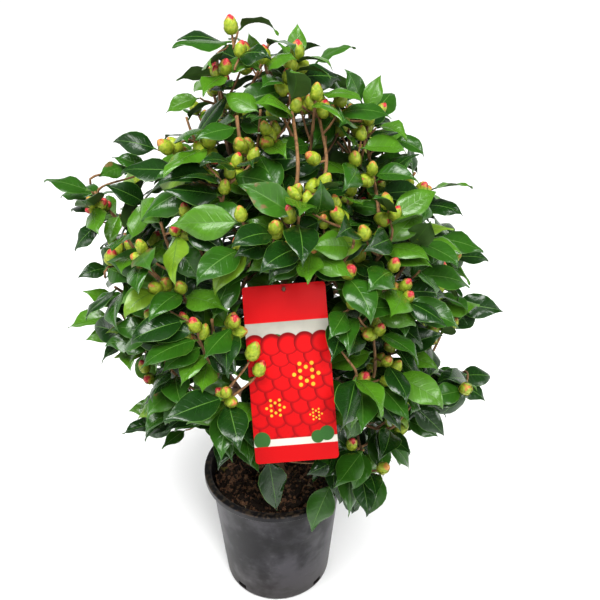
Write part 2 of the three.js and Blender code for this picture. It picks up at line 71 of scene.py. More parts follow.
# Pot and compost
POT_HEIGHT = 212
RIM_RADIUS = 110
RIM_DEPTH = 10
RIM_WIDTH = 10.4
STEP_DEPTH = 8.5
STEP_OUT = 1.6
WALL_TOP_RADIUS = 99.8
WALL_FOOT_RADIUS = 84.8
WALL_THICKNESS = 2
FLOOR_THICKNESS = 2.4
FOOT_ROUNDING = 12
FOOT_RIM_RADIUS = 72
POT_SIDES = 128
NOTCH_AZIMUTHS = (-41, 49, 139, 229)
NOTCH_SIZE = (16, 14, 9)
SOIL_LEVEL = 190

# Trunk
TRUNK_HEIGHT = 145
TRUNK_FOOT_RADIUS = 11.5
TRUNK_TOP_RADIUS = 8.5
TRUNK_FLARE = 6
TRUNK_FLARE_FADE = 9
TRUNK_LEAN = np.array([5.0, 7.0, 0.0])
TRUNK_STEPS = 7

# Label
LABEL_WIDTH = 90
LABEL_HEIGHT = 191
LABEL_THICKNESS = 1
LABEL_HOLE_DROP = 5.6
LABEL_TOP = np.array([18.8, -150.0, 608.0])
LABEL_LEAN = 29.8
LABEL_TURN = 4.6
LABEL_VIEW_DEPTH = 170
LABEL_OVERLAP = 9
SPUR_RADIUS = 1.9
SPUR_ALONG = 0.94
SPUR_AHEAD = 5

# Limbs, as they are in the source
BOUGH_STEPS = 4
BOUGH_TIP_RADIUS = 3.4
BOUGH_RISE = 0.5
SHOOT = {"steps": 3, "base": 3.2, "tip": 1.7, "rise": 0.8}
SIDE_SHOOT = {"steps": 2, "base": 2.2, "tip": 1.7, "rise": 0.8}
LEAVING_SHARE = 0.36
ARRIVING_SHARE = 0.3
BEND_ATTEMPTS = 24
BOW_STEP = 0.05
LIFT_STEP = 0.04
BOUGH_LEAN = 0.55
SHOOT_LEAN = 0.7
SHOOT_STEP = 0.17
SHOOT_REACH = (0.96, 0.08)
SHOOT_TURN = 4
SIDE_SHOOT_ALONG = (0.34, 0.26, 0.05)
SIDE_SHOOT_LENGTH = 105
SIDE_SHOOT_SIZE = (0.8, 0.4)
SIDE_SHOOT_TURN = 25
SIDE_SHOOT_OUT = (0.8, 0.3)
SIDE_SHOOT_REACH = 1.08
SIDE_SHOOT_ATTEMPTS = 6
SKIPPED_RADII = 1.5
CURVE_DIVISIONS = 200
HULL_SIDES = 8
HULL_MARGIN = 1.08
HULL_ROUNDS = 40

# Crown: the reach of its tips from its middle, by height
CROWN_FOOT = np.array([28.0, 6.0, 250.0])
CROWN_TOP = np.array([-8.0, 0.0, 850.0])
CROWN_LEVELS = (250, 330, 420, 520, 600, 680, 740, 800, 850)
CROWN_REACH = (95, 150, 186, 222, 212, 178, 122, 66, 34)
LOWEST_SHOOT = 254
FAN_SHARES = (0, 0.5, -0.5)
GOLDEN_ANGLE = 137.5

# Boughs: what each grows from and how far along it, its base radius, the azimuth, reach and
# height of its tip, then its number of shoots, their fan, their lowest and highest, and how far
# the first of them reaches past the crown
BOUGHS = {
    "right_low": ("trunk", 0.36, 5, (72, 108, 345), 2, -36, (365, 430), 56),
    "left_low": ("trunk", 0.43, 5, (-62, 96, 380), 2, 50, (445, 500), -10),
    "back_low": ("trunk", 0.5, 5, (176, 100, 350), 3, 110, (350, 430), 0),
    "front_low": ("trunk", 0.57, 5, (38, 96, 300), 2, 24, (262, 325), 30),
    "right": ("trunk", 0.65, 5.6, (82, 112, 420), 2, -26, (505, 590), 14),
    "left": ("trunk", 0.72, 5.8, (-88, 105, 500), 3, 56, (510, 665), 34),
    "front": ("trunk", 0.79, 6, (9.6, 112.6, 578), 2, 34, (660, 695), 10),
    "back_left": ("trunk", 0.84, 5.6, (-146, 105, 450), 3, 64, (500, 630), 0),
    "back_right": ("trunk", 0.9, 5.6, (140, 105, 460), 3, 64, (500, 630), 0),
    "leader_left": ("trunk", 1, 7, (-60, 42, 640), 3, 120, (740, 818), 0),
    "leader_right": ("leader_left", 0.14, 6, (76, 80, 565), 3, 70, (655, 745), 0),
    "leader_back": ("leader_left", 0.34, 5.4, (158, 60, 615), 3, 130, (675, 775), 0),
    "leader_centre": ("front", 0.4, 5.2, (36, 60, 600), 2, -60, (712, 785), 14),
    "left_front": ("left", 0.34, 5, (-38, 112, 480), 2, 36, (590, 675), 0),
    "right_front": ("right", 0.34, 5, (44, 112, 460), 3, 44, (530, 625), 0),
    "front_mid": ("front_low", 0.36, 4.8, (-14, 116, 400), 2, -24, (440, 520), 10),
}

# Bud clusters that the photograph shows: across and down the picture, and how many buds
BUD_PLACES = (
    (232, 27, 1), (239, 50, 1), (224, 66, 2), (272, 112, 2), (320, 88, 1), (314, 102, 2), (326, 117, 1),
    (343, 95, 1), (358, 110, 3), (377, 107, 1), (361, 133, 1), (318, 154, 1), (209, 138, 3), (235, 160, 3),
    (251, 155, 1), (190, 170, 1), (372, 167, 2), (337, 202, 3), (388, 202, 3), (418, 186, 4), (185, 222, 5),
    (244, 240, 3), (291, 215, 2), (300, 240, 5), (95, 198, 4), (116, 248, 2), (160, 282, 4), (186, 319, 2),
    (203, 150, 1), (168, 300, 1), (250, 352, 1), (256, 368, 1), (258, 403, 1), (350, 300, 1), (345, 268, 1),
    (378, 325, 2), (402, 283, 1), (416, 235, 1), (340, 340, 1), (386, 355, 1), (465, 382, 1), (396, 425, 1),
    (361, 375, 1), (354, 479, 2), (180, 410, 1), (172, 144, 2),
)

# Sky that shows round the crown: across and down the picture, and its radius
SKY_PLACES = (
    (118, 288, 6), (92, 348, 8), (96, 260, 7), (498, 386, 8), (116, 362, 6), (390, 484, 7), (350, 64, 6),
    (203, 20, 18), (228, 20, 5), (288, 20, 17), (258, 36, 8), (184, 60, 9), (182, 96, 12), (168, 118, 10),
    (188, 122, 9), (148, 150, 8), (166, 152, 6), (78, 170, 14), (52, 226, 22), (68, 232, 6), (112, 228, 8),
    (70, 284, 16), (98, 288, 8), (60, 350, 22), (86, 386, 20), (114, 376, 8), (132, 392, 14), (196, 446, 16),
    (182, 460, 9), (360, 82, 6), (410, 112, 16), (272, 18, 9), (436, 168, 12), (452, 196, 7), (474, 228, 12),
    (484, 276, 12), (452, 350, 15), (474, 344, 14), (482, 408, 15), (464, 414, 8), (424, 448, 13),
    (398, 486, 17), (386, 508, 12), (352, 528, 8), (338, 30, 14), (400, 60, 30), (150, 90, 24), (60, 440, 40),
    (90, 170, 9), (104, 158, 5), (90, 250, 6), (176, 452, 7), (470, 354, 8), (40, 204, 8), (145, 386, 7),
)

# Compost that shows between the leaves, in the same way
BARE_PLACES = (
    (228, 482, 13), (244, 498, 11), (252, 482, 9), (300, 496, 12), (262, 508, 8), (243, 292, 6),
    (325, 287, 6),
)

# Leaves that stand out there: the root and the tip, each across and down the picture and at its
# depth, which is its Y, then how far the blade droops and how far it faces the viewer
STRAY_LEAVES = (
    ((238, 31, -5), (279, 28, -25), 1.5, 0.1), ((244, 52, -5), (273, 30, -25), 0.2, 0.4),
    ((228, 46, 0), (178, 36, -20), 0.8, 0.3), ((222, 75, 0), (176, 76, -10), 0.5, 0.3),
    ((297, 62, 0), (297, 37, 12), 0.2, 0.5), ((315, 64, 0), (354, 44, -10), 0.9, 0.2),
    ((262, 70, -10), (252, 42, 0), 0.3, 0.5), ((300, 76, -5), (276, 46, -15), 0.4, 0.4),
    ((366, 112, -30), (380, 76, -20), 0.4, 0.9), ((362, 104, -20), (352, 80, -20), 0.4, 0.6),
    ((376, 128, -30), (408, 136, -60), 1.0, 0.4), ((392, 140, -20), (426, 154, -40), 0.9, 0.2),
    ((426, 191, -30), (473, 184, -35), 0.3, 0.0), ((420, 206, -20), (464, 212, -50), 0.7, 0.3),
    ((432, 238, -40), (484, 250, -50), 0.6, 0.4), ((430, 262, -30), (466, 268, -50), 0.5, 0.4),
    ((452, 304, -40), (504, 312, -60), 0.6, 0.6), ((438, 376, -60), (498, 363, -60), 0.4, 0.1),
    ((448, 380, -60), (488, 400, -80), 0.6, 0.4), ((412, 404, -80), (446, 436, -100), 0.4, 0.6),
    ((404, 420, -70), (440, 436, -80), 0.6, 0.4), ((380, 472, -60), (370, 516, -90), 0.4, 0.7),
    ((352, 484, -70), (352, 516, -80), 0.4, 0.9), ((332, 482, -92), (310, 532, -125), 0.5, 0.5),
    ((268, 456, -86), (277, 512, -110), 0.4, 0.4), ((92, 192, -20), (42, 178, -20), 0.6, 0.4),
    ((102, 222, -20), (73, 250, -30), 0.7, 0.5), ((108, 206, -20), (80, 212, -50), 0.6, 0.2),
    ((158, 150, 0), (112, 139, -10), 0.8, 0.5), ((148, 168, 0), (112, 156, 0), 0.5, 0.6),
    ((146, 204, 0), (106, 186, -20), 0.7, 0.6), ((112, 316, -30), (67, 327, -40), 0.6, 0.4),
    ((118, 306, -30), (84, 290, -40), 0.5, 0.5), ((118, 330, -30), (88, 339, -50), 0.5, 0.5),
    ((118, 296, -30), (82, 302, -50), 0.7, 0.5), ((146, 336, -40), (112, 336, -60), 0.7, 0.5),
    ((146, 352, -40), (120, 356, -60), 0.5, 0.5), ((162, 424, -50), (122, 432, -70), 0.7, 0.6),
    ((168, 408, -60), (128, 410, -70), 0.7, 0.3), ((186, 430, -60), (164, 446, -90), 0.5, 0.6),
    ((142, 262, -20), (102, 276, -40), 0.6, 0.4), ((330, 92, -5), (360, 104, -20), 0.7, 0.3),
    ((262, 264, -90), (243, 290, -112), 0.4, 0.4), ((300, 262, -90), (264, 284, -115), 0.4, 0.4),
    ((128, 166, 10), (112, 184, -10), 0.5, 0.7), ((130, 190, -10), (108, 212, -30), 0.5, 0.7),
    ((120, 214, -20), (112, 236, -40), 0.5, 0.7), ((110, 268, -20), (86, 274, -40), 0.8, 0.5),
    ((405, 440, -60), (400, 466, -70), 0.4, 0.6), ((364, 478, -80), (354, 512, -100), 0.4, 0.5),
    ((200, 98, 0), (173, 108, -10), 0.6, 0.5),
)

# Stems that show between the leaves: the lower and the upper end, across and down the picture,
# and the shares of the stem that nothing hides
SEEN_STEMS = (
    ((243, 152), (233, 37), (0.2, 0.9)), ((294, 198), (289, 84), (0.2, 0.55)),
    ((319, 190), (318, 104), (0.3, 0.8)), ((379, 246), (364, 124), (0.5, 0.9)),
    ((366, 388), (374, 328), (0.3, 0.9)),
)


# Vectors and chance
def unit(vector):
    return vector / max(np.linalg.norm(vector), 1e-9)


def outward(azimuth):
    angle = math.radians(azimuth)
    return np.array([math.sin(angle), -math.cos(angle), 0.0])


def place(azimuth, reach, height):
    return outward(azimuth) * reach + UP * height


def crown_middle(height):
    share = (height - CROWN_FOOT[2]) / (CROWN_TOP[2] - CROWN_FOOT[2])
    middle = CROWN_FOOT + (CROWN_TOP - CROWN_FOOT) * share
    middle[2] = 0
    return middle


def reach_at(height):
    return float(np.interp(height, CROWN_LEVELS, CROWN_REACH))


def crown_share(point):
    """How far out a point is, as a share of the crown's reach at its height."""
    return np.linalg.norm(level(point - crown_middle(point[2]))) / reach_at(point[2])


def seeded(seed):
    state = seed * 2654435761 & 0xFFFFFFFF

    def draw():
        nonlocal state
        state = (state + 0x6D2B79F5) & 0xFFFFFFFF
        mixed = (state ^ state >> 15) * (state | 1) & 0xFFFFFFFF
        mixed ^= (mixed + (mixed ^ mixed >> 7) * (mixed | 61)) & 0xFFFFFFFF
        return (mixed ^ mixed >> 14) / 4294967296

    return draw


def spread(draw, amount):
    return (draw() * 2 - 1) * amount


def about(draw, middle, amount):
    return middle + spread(draw, amount)


def above(draw, least, more):
    return least + more * draw()


def turned(vector, axis, degrees):
    angle = math.radians(degrees)
    kept = axis * (axis @ vector) * (1 - math.cos(angle))
    return vector * math.cos(angle) + np.cross(axis, vector) * math.sin(angle) + kept


def square_to(vector, axis):
    return unit(vector - axis * (vector @ axis))


def side_of(direction):
    steep = abs(direction[2]) > 0.9
    return unit(np.cross(direction, np.array([1.0, 0.0, 0.0]) if steep else UP))


def level(vector):
    return np.array([vector[0], vector[1], 0.0])


def turns_of(count):
    return np.arange(count) * 2 * math.pi / count


def ring_about(turns, side, top):
    return np.outer(np.cos(turns), side) + np.outer(np.sin(turns), top)


# Limbs: curves followed by their length, and the hulls that keep them clear of each other
class Limb:
    def __init__(self, handles, radii, steps):
        self.handles = np.array(handles, float)
        self.radii = radii
        self.steps = steps
        self.shares = np.linspace(0, 1, CURVE_DIVISIONS + 1)
        stretches = np.linalg.norm(np.diff(self.at(self.shares), axis=0), axis=1)
        self.lengths = np.concatenate([[0], np.cumsum(stretches)])
        self.length = self.lengths[-1]

    def at(self, share):
        share = np.asarray(share, float)[..., None]
        rest = 1 - share
        a, b, c, d = self.handles
        return rest**3 * a + 3 * rest**2 * share * b + 3 * rest * share**2 * c + share**3 * d

    def share(self, along):
        return np.interp(np.asarray(along) * self.length, self.lengths, self.shares)

    def point(self, along):
        return self.at(self.share(along))

    def tangent(self, along):
        share = self.share(along)
        return unit(self.at(min(share + 1e-4, 1)) - self.at(max(share - 1e-4, 0)))

    def radius(self, along):
        if self.radii is None:
            flare = TRUNK_FLARE * np.exp(-along * TRUNK_FLARE_FADE)
            return TRUNK_FOOT_RADIUS + (TRUNK_TOP_RADIUS - TRUNK_FOOT_RADIUS) * along + flare
        return self.radii[0] + (self.radii[1] - self.radii[0]) * along

    def middle(self, along):
        step = min(math.floor(along * self.steps), self.steps - 1)
        start, end = self.point(step / self.steps), self.point((step + 1) / self.steps)
        return start + (end - start) * (along * self.steps - step)


def hull_of(corners, owner):
    corners = np.array(corners)
    middle = corners.mean(axis=0)
    return corners, middle, np.linalg.norm(corners - middle, axis=1).max(), owner


def is_clear(hull, other, clearance):
    corners, middle, size = hull[:3]
    between = middle - other[1]
    if between @ between > (size + other[2] + clearance) ** 2:
        return True
    for _ in range(HULL_ROUNDS):
        length = math.sqrt(between @ between)
        if length < clearance:
            return False
        nearest = corners[np.argmax(corners @ -between)] - other[0][np.argmax(other[0] @ between)]
        if nearest @ between / length > clearance:
            return True
        step = between - nearest
        between = between - min(1, max(0, between @ step / (step @ step))) * step
    return False


def hulls_along(limb, owner, skipped):
    hulls = []
    for step in range(limb.steps):
        corners = []
        for end in (step, step + 1):
            along = max(end / limb.steps, skipped / limb.length)
            tangent = limb.tangent(along)
            side = side_of(tangent)
            ring = ring_about(turns_of(HULL_SIDES), side, np.cross(side, tangent))
            corners.extend(limb.point(along) + ring * (limb.radius(along) * HULL_MARGIN))
        hulls.append(hull_of(corners, owner))
    return hulls


# Label: its own directions, across, up and towards the viewer
def label_axes():
    lean, turn = math.radians(90 - LABEL_LEAN), math.radians(LABEL_TURN)
    tilt = np.array([[1, 0, 0], [0, math.cos(lean), -math.sin(lean)], [0, math.sin(lean), math.cos(lean)]])
    spin = np.array([[math.cos(turn), -math.sin(turn), 0], [math.sin(turn), math.cos(turn), 0], [0, 0, 1]])
    return tilt @ spin


LABEL_AXES = label_axes()


def label_point(x, y, z):
    return LABEL_AXES @ np.array([x, y, z], float) + LABEL_TOP


def label_box(width, top, bottom, back, front):
    return hull_of([
        label_point(x, y, z) for x in (-width / 2, width / 2) for y in (top, bottom) for z in (back, front)
    ], "label")


placed = [label_box(LABEL_WIDTH, 0, -LABEL_HEIGHT, -LABEL_THICKNESS / 2, LABEL_THICKNESS / 2)]
label_view = label_box(
    LABEL_WIDTH - LABEL_OVERLAP * 2, -LABEL_OVERLAP, LABEL_OVERLAP - LABEL_HEIGHT, 0, LABEL_VIEW_DEPTH,
)


def fits(hull, owner, parent=""):
    if not is_clear(hull, label_view, 0):
        return False
    return all(other[3] in (owner, parent) or is_clear(hull, other, GAP) for other in placed)


def grow(owner, parent, start, heading, tip, radii, steps, rise, skipped):
    """A limb bows to one side and another until it is clear of those that are there already."""
    length = np.linalg.norm(tip - start)
    across = unit(np.cross(tip - start, UP))
    for attempt in range(BEND_ATTEMPTS):
        bow = (1 if attempt % 2 else -1) * math.ceil(attempt / 2) * BOW_STEP * length
        lift = (attempt % 3 - 1) * LIFT_STEP * length * min(attempt, 1)
        first = start + heading * length * LEAVING_SHARE
        if skipped > 0:
            first = first + across * bow
        arriving = unit(unit(tip - start) + UP * rise)
        last = tip + across * bow / 2 - arriving * length * ARRIVING_SHARE + UP * lift
        limb = Limb([start, first, last, tip], radii, steps)
        hulls = hulls_along(limb, owner, skipped)
        if all(fits(hull, owner, "" if step else parent) for step, hull in enumerate(hulls)):
            placed.extend(hulls)
            return limb
    return None


def start_on(parent, along):
    heading = parent.tangent(along)
    start = parent.point(along)
    if along == 1:
        return start + heading * GAP, heading, 0
    return start, heading, parent.radius(along) * SKIPPED_RADII


# Limbs as the source grows them
trunk_foot = np.array([0, 0, SOIL_LEVEL + GAP])
trunk_top = UP * (SOIL_LEVEL + TRUNK_HEIGHT) + TRUNK_LEAN
trunk_handle = UP * TRUNK_HEIGHT / 3
trunk_handles = (trunk_foot, trunk_foot + trunk_handle, trunk_top - trunk_handle, trunk_top)
limbs = {"trunk": Limb(trunk_handles, None, TRUNK_STEPS)}
placed.extend(hulls_along(limbs["trunk"], "trunk", 0))
spur = None
for name, (source, along, radius, tip, *_) in BOUGHS.items():
    start, heading, skipped = start_on(limbs[source], along)
    tip = place(*tip)
    leaving = heading * BOUGH_LEAN
    if along < 1:
        leaving = leaving + unit(level(tip - start))
    limbs[name] = grow(
        name, source, start, unit(leaving), tip, (radius, BOUGH_TIP_RADIUS), BOUGH_STEPS, BOUGH_RISE, skipped,
    )
    if name == "front":
        root = limbs[name].middle(SPUR_ALONG)
        end = label_point(0, -LABEL_HOLE_DROP, 0)
        end = end + unit(end - root) * SPUR_AHEAD
        reach = end - root
        spur = Limb([root, root + reach / 3, end - reach / 3, end], (SPUR_RADIUS, SPUR_RADIUS), 1)
        placed.extend(hulls_along(spur, name, 0))

masses = []
for name, (_, _, _, tip, shoots, fan, (low, high), past) in BOUGHS.items():
    for order in range(shoots):
        draw = seeded(len(masses) + 101)
        height = high - (high - low) * order / (shoots - 1)
        azimuth = tip[0] + fan * FAN_SHARES[order] + spread(draw, SHOOT_TURN)
        reach = reach_at(height) * above(draw, *SHOOT_REACH) + (0 if order else past)
        masses.append({
            "name": f"{name}_{order + 1}", "bough": name, "along": 1 - SHOOT_STEP * order,
            "tip": place(azimuth, reach, height) + crown_middle(height), "seed": len(masses) * 100,
        })
for mass in masses:
    bough = limbs[mass["bough"]]
    start, heading, skipped = start_on(bough, mass["along"])
    if mass["along"] < 1:
        heading = heading * SHOOT_LEAN + unit(mass["tip"] - start)
    main = grow(
        mass["name"], mass["bough"], start, unit(heading), mass["tip"],
        (SHOOT["base"], SHOOT["tip"]), SHOOT["steps"], SHOOT["rise"], skipped,
    )
    mass["shoots"] = [main]
for mass in masses:
    main = mass["shoots"][0]
    for order in range(2 if mass["along"] == 1 else 1):
        draw = seeded(mass["seed"] + 11 + order)
        lowest, step, jitter = SIDE_SHOOT_ALONG
        along = lowest + step * order + spread(draw, jitter)
        start = main.middle(along)
        tangent = main.tangent(along)
        side = unit(np.cross(tangent, UP))
        length = SIDE_SHOOT_LENGTH * above(draw, *SIDE_SHOOT_SIZE)
        turn = spread(draw, SIDE_SHOOT_TURN)
        for attempt in range(SIDE_SHOOT_ATTEMPTS):
            heading = unit(tangent + turned(side, tangent, turn + order * 180 + attempt * 215))
            tip = start + heading * length * SIDE_SHOOT_OUT[0] + UP * length * SIDE_SHOOT_OUT[1]
            if not (crown_share(tip) < SIDE_SHOOT_REACH and LOWEST_SHOOT < tip[2] < CROWN_TOP[2]):
                continue
            made = grow(
                mass["name"], mass["bough"], start, heading, tip,
                (SIDE_SHOOT["base"], SIDE_SHOOT["tip"]), SIDE_SHOOT["steps"], SIDE_SHOOT["rise"], 0,
            )
            if made:
                mass["shoots"].append(made)
                break


# Finer twigs: the photograph's stems and bud clusters first, then seeded ones
TWIG_RADII = (1.7, 1.15)
TWIG_RISE = 0.7
TWIG_STEP = 25
TWIG_ALONG = (0.42, 0.3, 0.08)
TWIG_LENGTH = 52
TWIG_SIZE = (0.75, 0.6)
TWIG_OUT = (0.85, 0.3)
TWIG_LOWEST = 238
TWIG_REACH = 1.04
TWIG_LEAST_RISE = 12
TWIG_LOW_COST = 1.5
TWIG_STARTS = np.linspace(0.3, 1, 8)
LAST_TANGENT = 0.98
LAST_LEAF_TANGENT = 0.99
BUD_SHIFT = 8
BUD_REACH = 0.97
STEM_ROOT_RADII = (2.6, 2.4)
STEM_RADII = (2.4, 1.7)
STEM_RISES = (1.2, 0.2)
STEM_REACH = 0.88
STEM_CLEARING = 8
STEM_AHEAD = 5
STEM_MARKS = 15
SIGHT_DISTANCES = np.arange(480, 1180, 4.0)


def sight_line(across, down):
    """The direction from the camera through a place in the photograph."""
    right, over = (across - PICTURE_MIDDLE) / PICTURE_FOCAL, (PICTURE_MIDDLE - down) / PICTURE_FOCAL
    return unit(CAMERA_AHEAD + CAMERA_ABOVE * over + np.array([right, 0, 0]))


def in_picture(points):
    """Where points show in the photograph, across and down, and how far ahead of the camera."""
    away = np.reshape(points, (-1, 3)) - CAMERA_PLACE
    ahead, above = away @ CAMERA_AHEAD, away @ CAMERA_ABOVE
    across = PICTURE_MIDDLE + PICTURE_FOCAL * away[:, 0] / ahead
    return across, PICTURE_MIDDLE - PICTURE_FOCAL * above / ahead, ahead


def in_places(points, places):
    across, down, _ = in_picture(points)
    return any(((across - x) ** 2 + (down - y) ** 2 < radius**2).any() for x, y, radius in places)


def hides_stem(points):
    across, down, ahead = in_picture(points)
    return any(
        (((across - x) ** 2 + (down - y) ** 2 < STEM_CLEARING**2) & (ahead < depth - STEM_AHEAD)).any()
        for x, y, depth in stem_marks
    )


def at_depth(across, down, depth):
    ahead = sight_line(across, down)
    return CAMERA_PLACE + ahead * (depth - CAMERA_PLACE[1]) / ahead[1]


def seen_place(across, down, share):
    """Where a sight line first comes within a share of the crown's reach, or passes nearest to it."""
    points = CAMERA_PLACE + SIGHT_DISTANCES[:, None] * sight_line(across, down)
    shares = np.array([crown_share(point) for point in points])
    inside = np.flatnonzero(shares < share)
    return points[inside[0] if len(inside) else np.argmin(shares)]


def twig(start, heading, tip, radii=TWIG_RADII, rise=TWIG_RISE):
    length = np.linalg.norm(tip - start)
    arriving = unit(unit(tip - start) + UP * rise)
    handles = [start, start + heading * length * LEAVING_SHARE, tip - arriving * length * ARRIVING_SHARE, tip]
    return Limb(handles, radii, max(2, round(length / TWIG_STEP)))


def twig_to(tip, radii=TWIG_RADII, rise=TWIG_RISE):
    """A twig to its tip from the shoot where it best grows up and out, and that shoot's mass."""
    best = None
    for carrier, mass in carriers:
        for along in TWIG_STARTS:
            gap = tip - carrier.point(along)
            cost = np.linalg.norm(gap) + TWIG_LOW_COST * max(0, TWIG_LEAST_RISE - gap[2])
            if best is None or cost < best[0]:
                best = (cost, carrier, float(along), mass)
    _, carrier, along, mass = best
    return twig(carrier.point(along), carrier.tangent(min(along, LAST_TANGENT)), tip, radii, rise), mass


carriers = [(shoot, mass) for mass in masses for shoot in mass["shoots"]]
stem_marks = []
for low, high, bare in SEEN_STEMS:
    foot, tip = seen_place(*low, STEM_REACH), seen_place(*high, STEM_REACH)
    root, mass = twig_to(foot, STEM_ROOT_RADII, STEM_RISES[0])
    stem = twig(foot, root.tangent(1), tip, STEM_RADII, STEM_RISES[1])
    mass["shoots"].extend((root, stem))
    carriers.extend(((root, mass), (stem, mass)))
    stem_marks.extend(zip(*in_picture(stem.point(np.linspace(*bare, STEM_MARKS)))))
clusters = {}
for across, down, count in BUD_PLACES:
    made, mass = twig_to(seen_place(across, down + BUD_SHIFT, BUD_REACH))
    mass["shoots"].append(made)
    clusters[id(made)] = count
for mass in masses:
    for order, shoot in enumerate(list(mass["shoots"])):
        draw = seeded(mass["seed"] + 211 + order)
        for step in range(2 if order == 0 else 1):
            along = TWIG_ALONG[0] + TWIG_ALONG[1] * step + spread(draw, TWIG_ALONG[2])
            tangent = shoot.tangent(along)
            side = turned(side_of(tangent), tangent, draw() * 360)
            length = TWIG_LENGTH * above(draw, *TWIG_SIZE)
            start = shoot.point(along)
            tip = start + unit(tangent + side) * length * TWIG_OUT[0] + UP * length * TWIG_OUT[1]
            if crown_share(tip) > TWIG_REACH or tip[2] < TWIG_LOWEST or in_places(tip, SKY_PLACES):
                continue
            made = twig(start, unit(tangent + side), tip)
            if all(is_clear(hull, label_view, 0) for hull in hulls_along(made, "", 0)):
                mass["shoots"].append(made)
stalks = [twig_to(at_depth(*root)) for root, *_ in STRAY_LEAVES]

# Buds: one at the end of a shoot, and more in pairs beside it
BUD_LENGTH = 20.5
BUD_RADIUS = 6.8
BUD_STEP = 10.5
BUD_JITTER = 3
BUD_LOWEST = 0.1
BUD_ROOM = 12.5
BUD_SIZE = (0.82, 0.28)
BUD_TURN = 172
BUD_LEAN = (0.95, 0.45)
END_BUD_LEAN = 0.15
BUD_LIFT = 0.2
BUD_CHANCES = (0.35, 0.65, 0.87)
buds = []
bud_ends = {}


def add_buds(shoot, count, draw, listed):
    side = side_of(shoot.tangent(1))
    turn = draw() * 360
    for index in range(count):
        size = above(draw, *BUD_SIZE)
        back = BUD_STEP * math.ceil(index / 2) + BUD_JITTER * draw() * (index > 0)
        along = max(BUD_LOWEST, 1 - back / shoot.length)
        tangent = shoot.tangent(min(along, LAST_LEAF_TANGENT))
        around = square_to(turned(side, tangent, turn + index * BUD_TURN), tangent)
        lean = above(draw, *BUD_LEAN) if index else END_BUD_LEAN
        heading = unit(tangent + around * lean + UP * BUD_LIFT)
        root = shoot.point(along) + around * shoot.radius(along) * (index > 0)
        middle = root + heading * BUD_LENGTH * size / 2
        hue = draw()
        if not listed and in_places(middle, SKY_PLACES):
            continue
        if all(np.linalg.norm(middle - other[-1]) > BUD_ROOM for other in buds):
            buds.append((root, heading, side_of(heading), BUD_LENGTH * size, BUD_RADIUS * size, hue, middle))
            bud_ends[id(shoot)] = max(bud_ends.get(id(shoot), 0), along)


for mass in masses:
    for order, shoot in enumerate(mass["shoots"]):
        draw = seeded(mass["seed"] + 71 + order)
        chosen = int(np.searchsorted(BUD_CHANCES, draw(), "right"))
        add_buds(shoot, clusters.get(id(shoot), chosen), draw, id(shoot) in clusters)

# Leaves, as shares of their length: half widths from root to tip, and the rows and columns of a blade
LEAF_LENGTH = 69
LEAF_SPACING = 10
LEAFY_SHARE = 0.88
FIRST_LEAF = 0.98
LEAFY_STRETCH = 0.86
LEAF_OUTLINE = (
    (0, 0.009), (0.08, 0.011), (0.115, 0.045), (0.2, 0.14), (0.31, 0.222), (0.43, 0.25), (0.56, 0.236),
    (0.68, 0.176), (0.78, 0.1), (0.86, 0.046), (0.93, 0.018), (1, 0),
)
LEAF_ROWS = (0.03, 0.09, 0.12, 0.18, 0.27, 0.38, 0.5, 0.62, 0.73, 0.82, 0.9, 0.96)
LEAF_COLUMNS = (1, 0.965, 0.66, 0.3, 0.032, -0.032, -0.3, -0.66, -0.965, -1)
TEST_ROWS = (0.3, 0.45, 0.6, 0.75, 0.9, 1)
TEST_COLUMNS = (0.85, 0, -0.85)
LEAF_BALANCE = 0.42
LEAF_CURL_START = 0.7
LEAF_CURL_STRETCH = 0.3
LEAF_CURL_POWER = 1.5
BLADE_START = 0.06
RIB_HOLLOW = 0.004
RIB_WIDTH = 0.07
WAVES = 14
WAVE_SLANT = 1.2
BEND_STEPS = 40
LEAF_HALF = 0.22
LEAF_RIB = 0.5
STALK_HALF = 0.9
STALK_END = 0.1
LEAF_LOWEST = 174
LEAF_GAP = 3.2
LEAF_ROOM = 3
LEAF_PAST_BOX = 12
# The ways that leaves vary: a middle and its spread either way, or a least value and what is added
LEAF_SIZE = (0.8, 0.34)
LEAF_JITTER = 18
LEAF_ROLL = 0.35
LEAF_OPENING = (70, 22, 8)
LEAF_DROOP = (0.5, 0.6)
LEAF_CURL = (0.2, 1.3)
LEAF_FOLD = (0.34, 0.28)
LEAF_CROWN = (0.3, 0.2)
LEAF_TWIST = 0.7
LEAF_WAVE = (0.008, 0.022)
LEAF_ATTEMPTS = 12
LEAF_RETURN = 51
LEAF_SHRINK = 0.985
LEAF_AWAY = 0.2
LEAF_LEVELLING = 0.4
LEAF_SAG = 0.3
LEAF_FACING = 0.7
STRAY_STRETCH = 0.08
STRAY_LEAST = 0.65
STRAY_ROLL = (0.25, 0.15)
STRAY_STEER = 3
STRAY_RISE = 0.8
STRAY_CURL = (0.2, 0.7)
STRAY_FOLD = (0.42, 0.3)
STRAY_TWIST = 0.8
STRAY_WAVE = (0.018, 0.026)
STRAY_ATTEMPTS = 8
FULL_TURN = 6.28
CROWD_CELL = 8
CROWD_GAP = 6
LIMB_CELL = 20
LIMB_MARKED = (0.06, 0.99)
LIMB_MARK_STEP = 6
BUD_MARKS = (0.3, 0.6, 0.9)


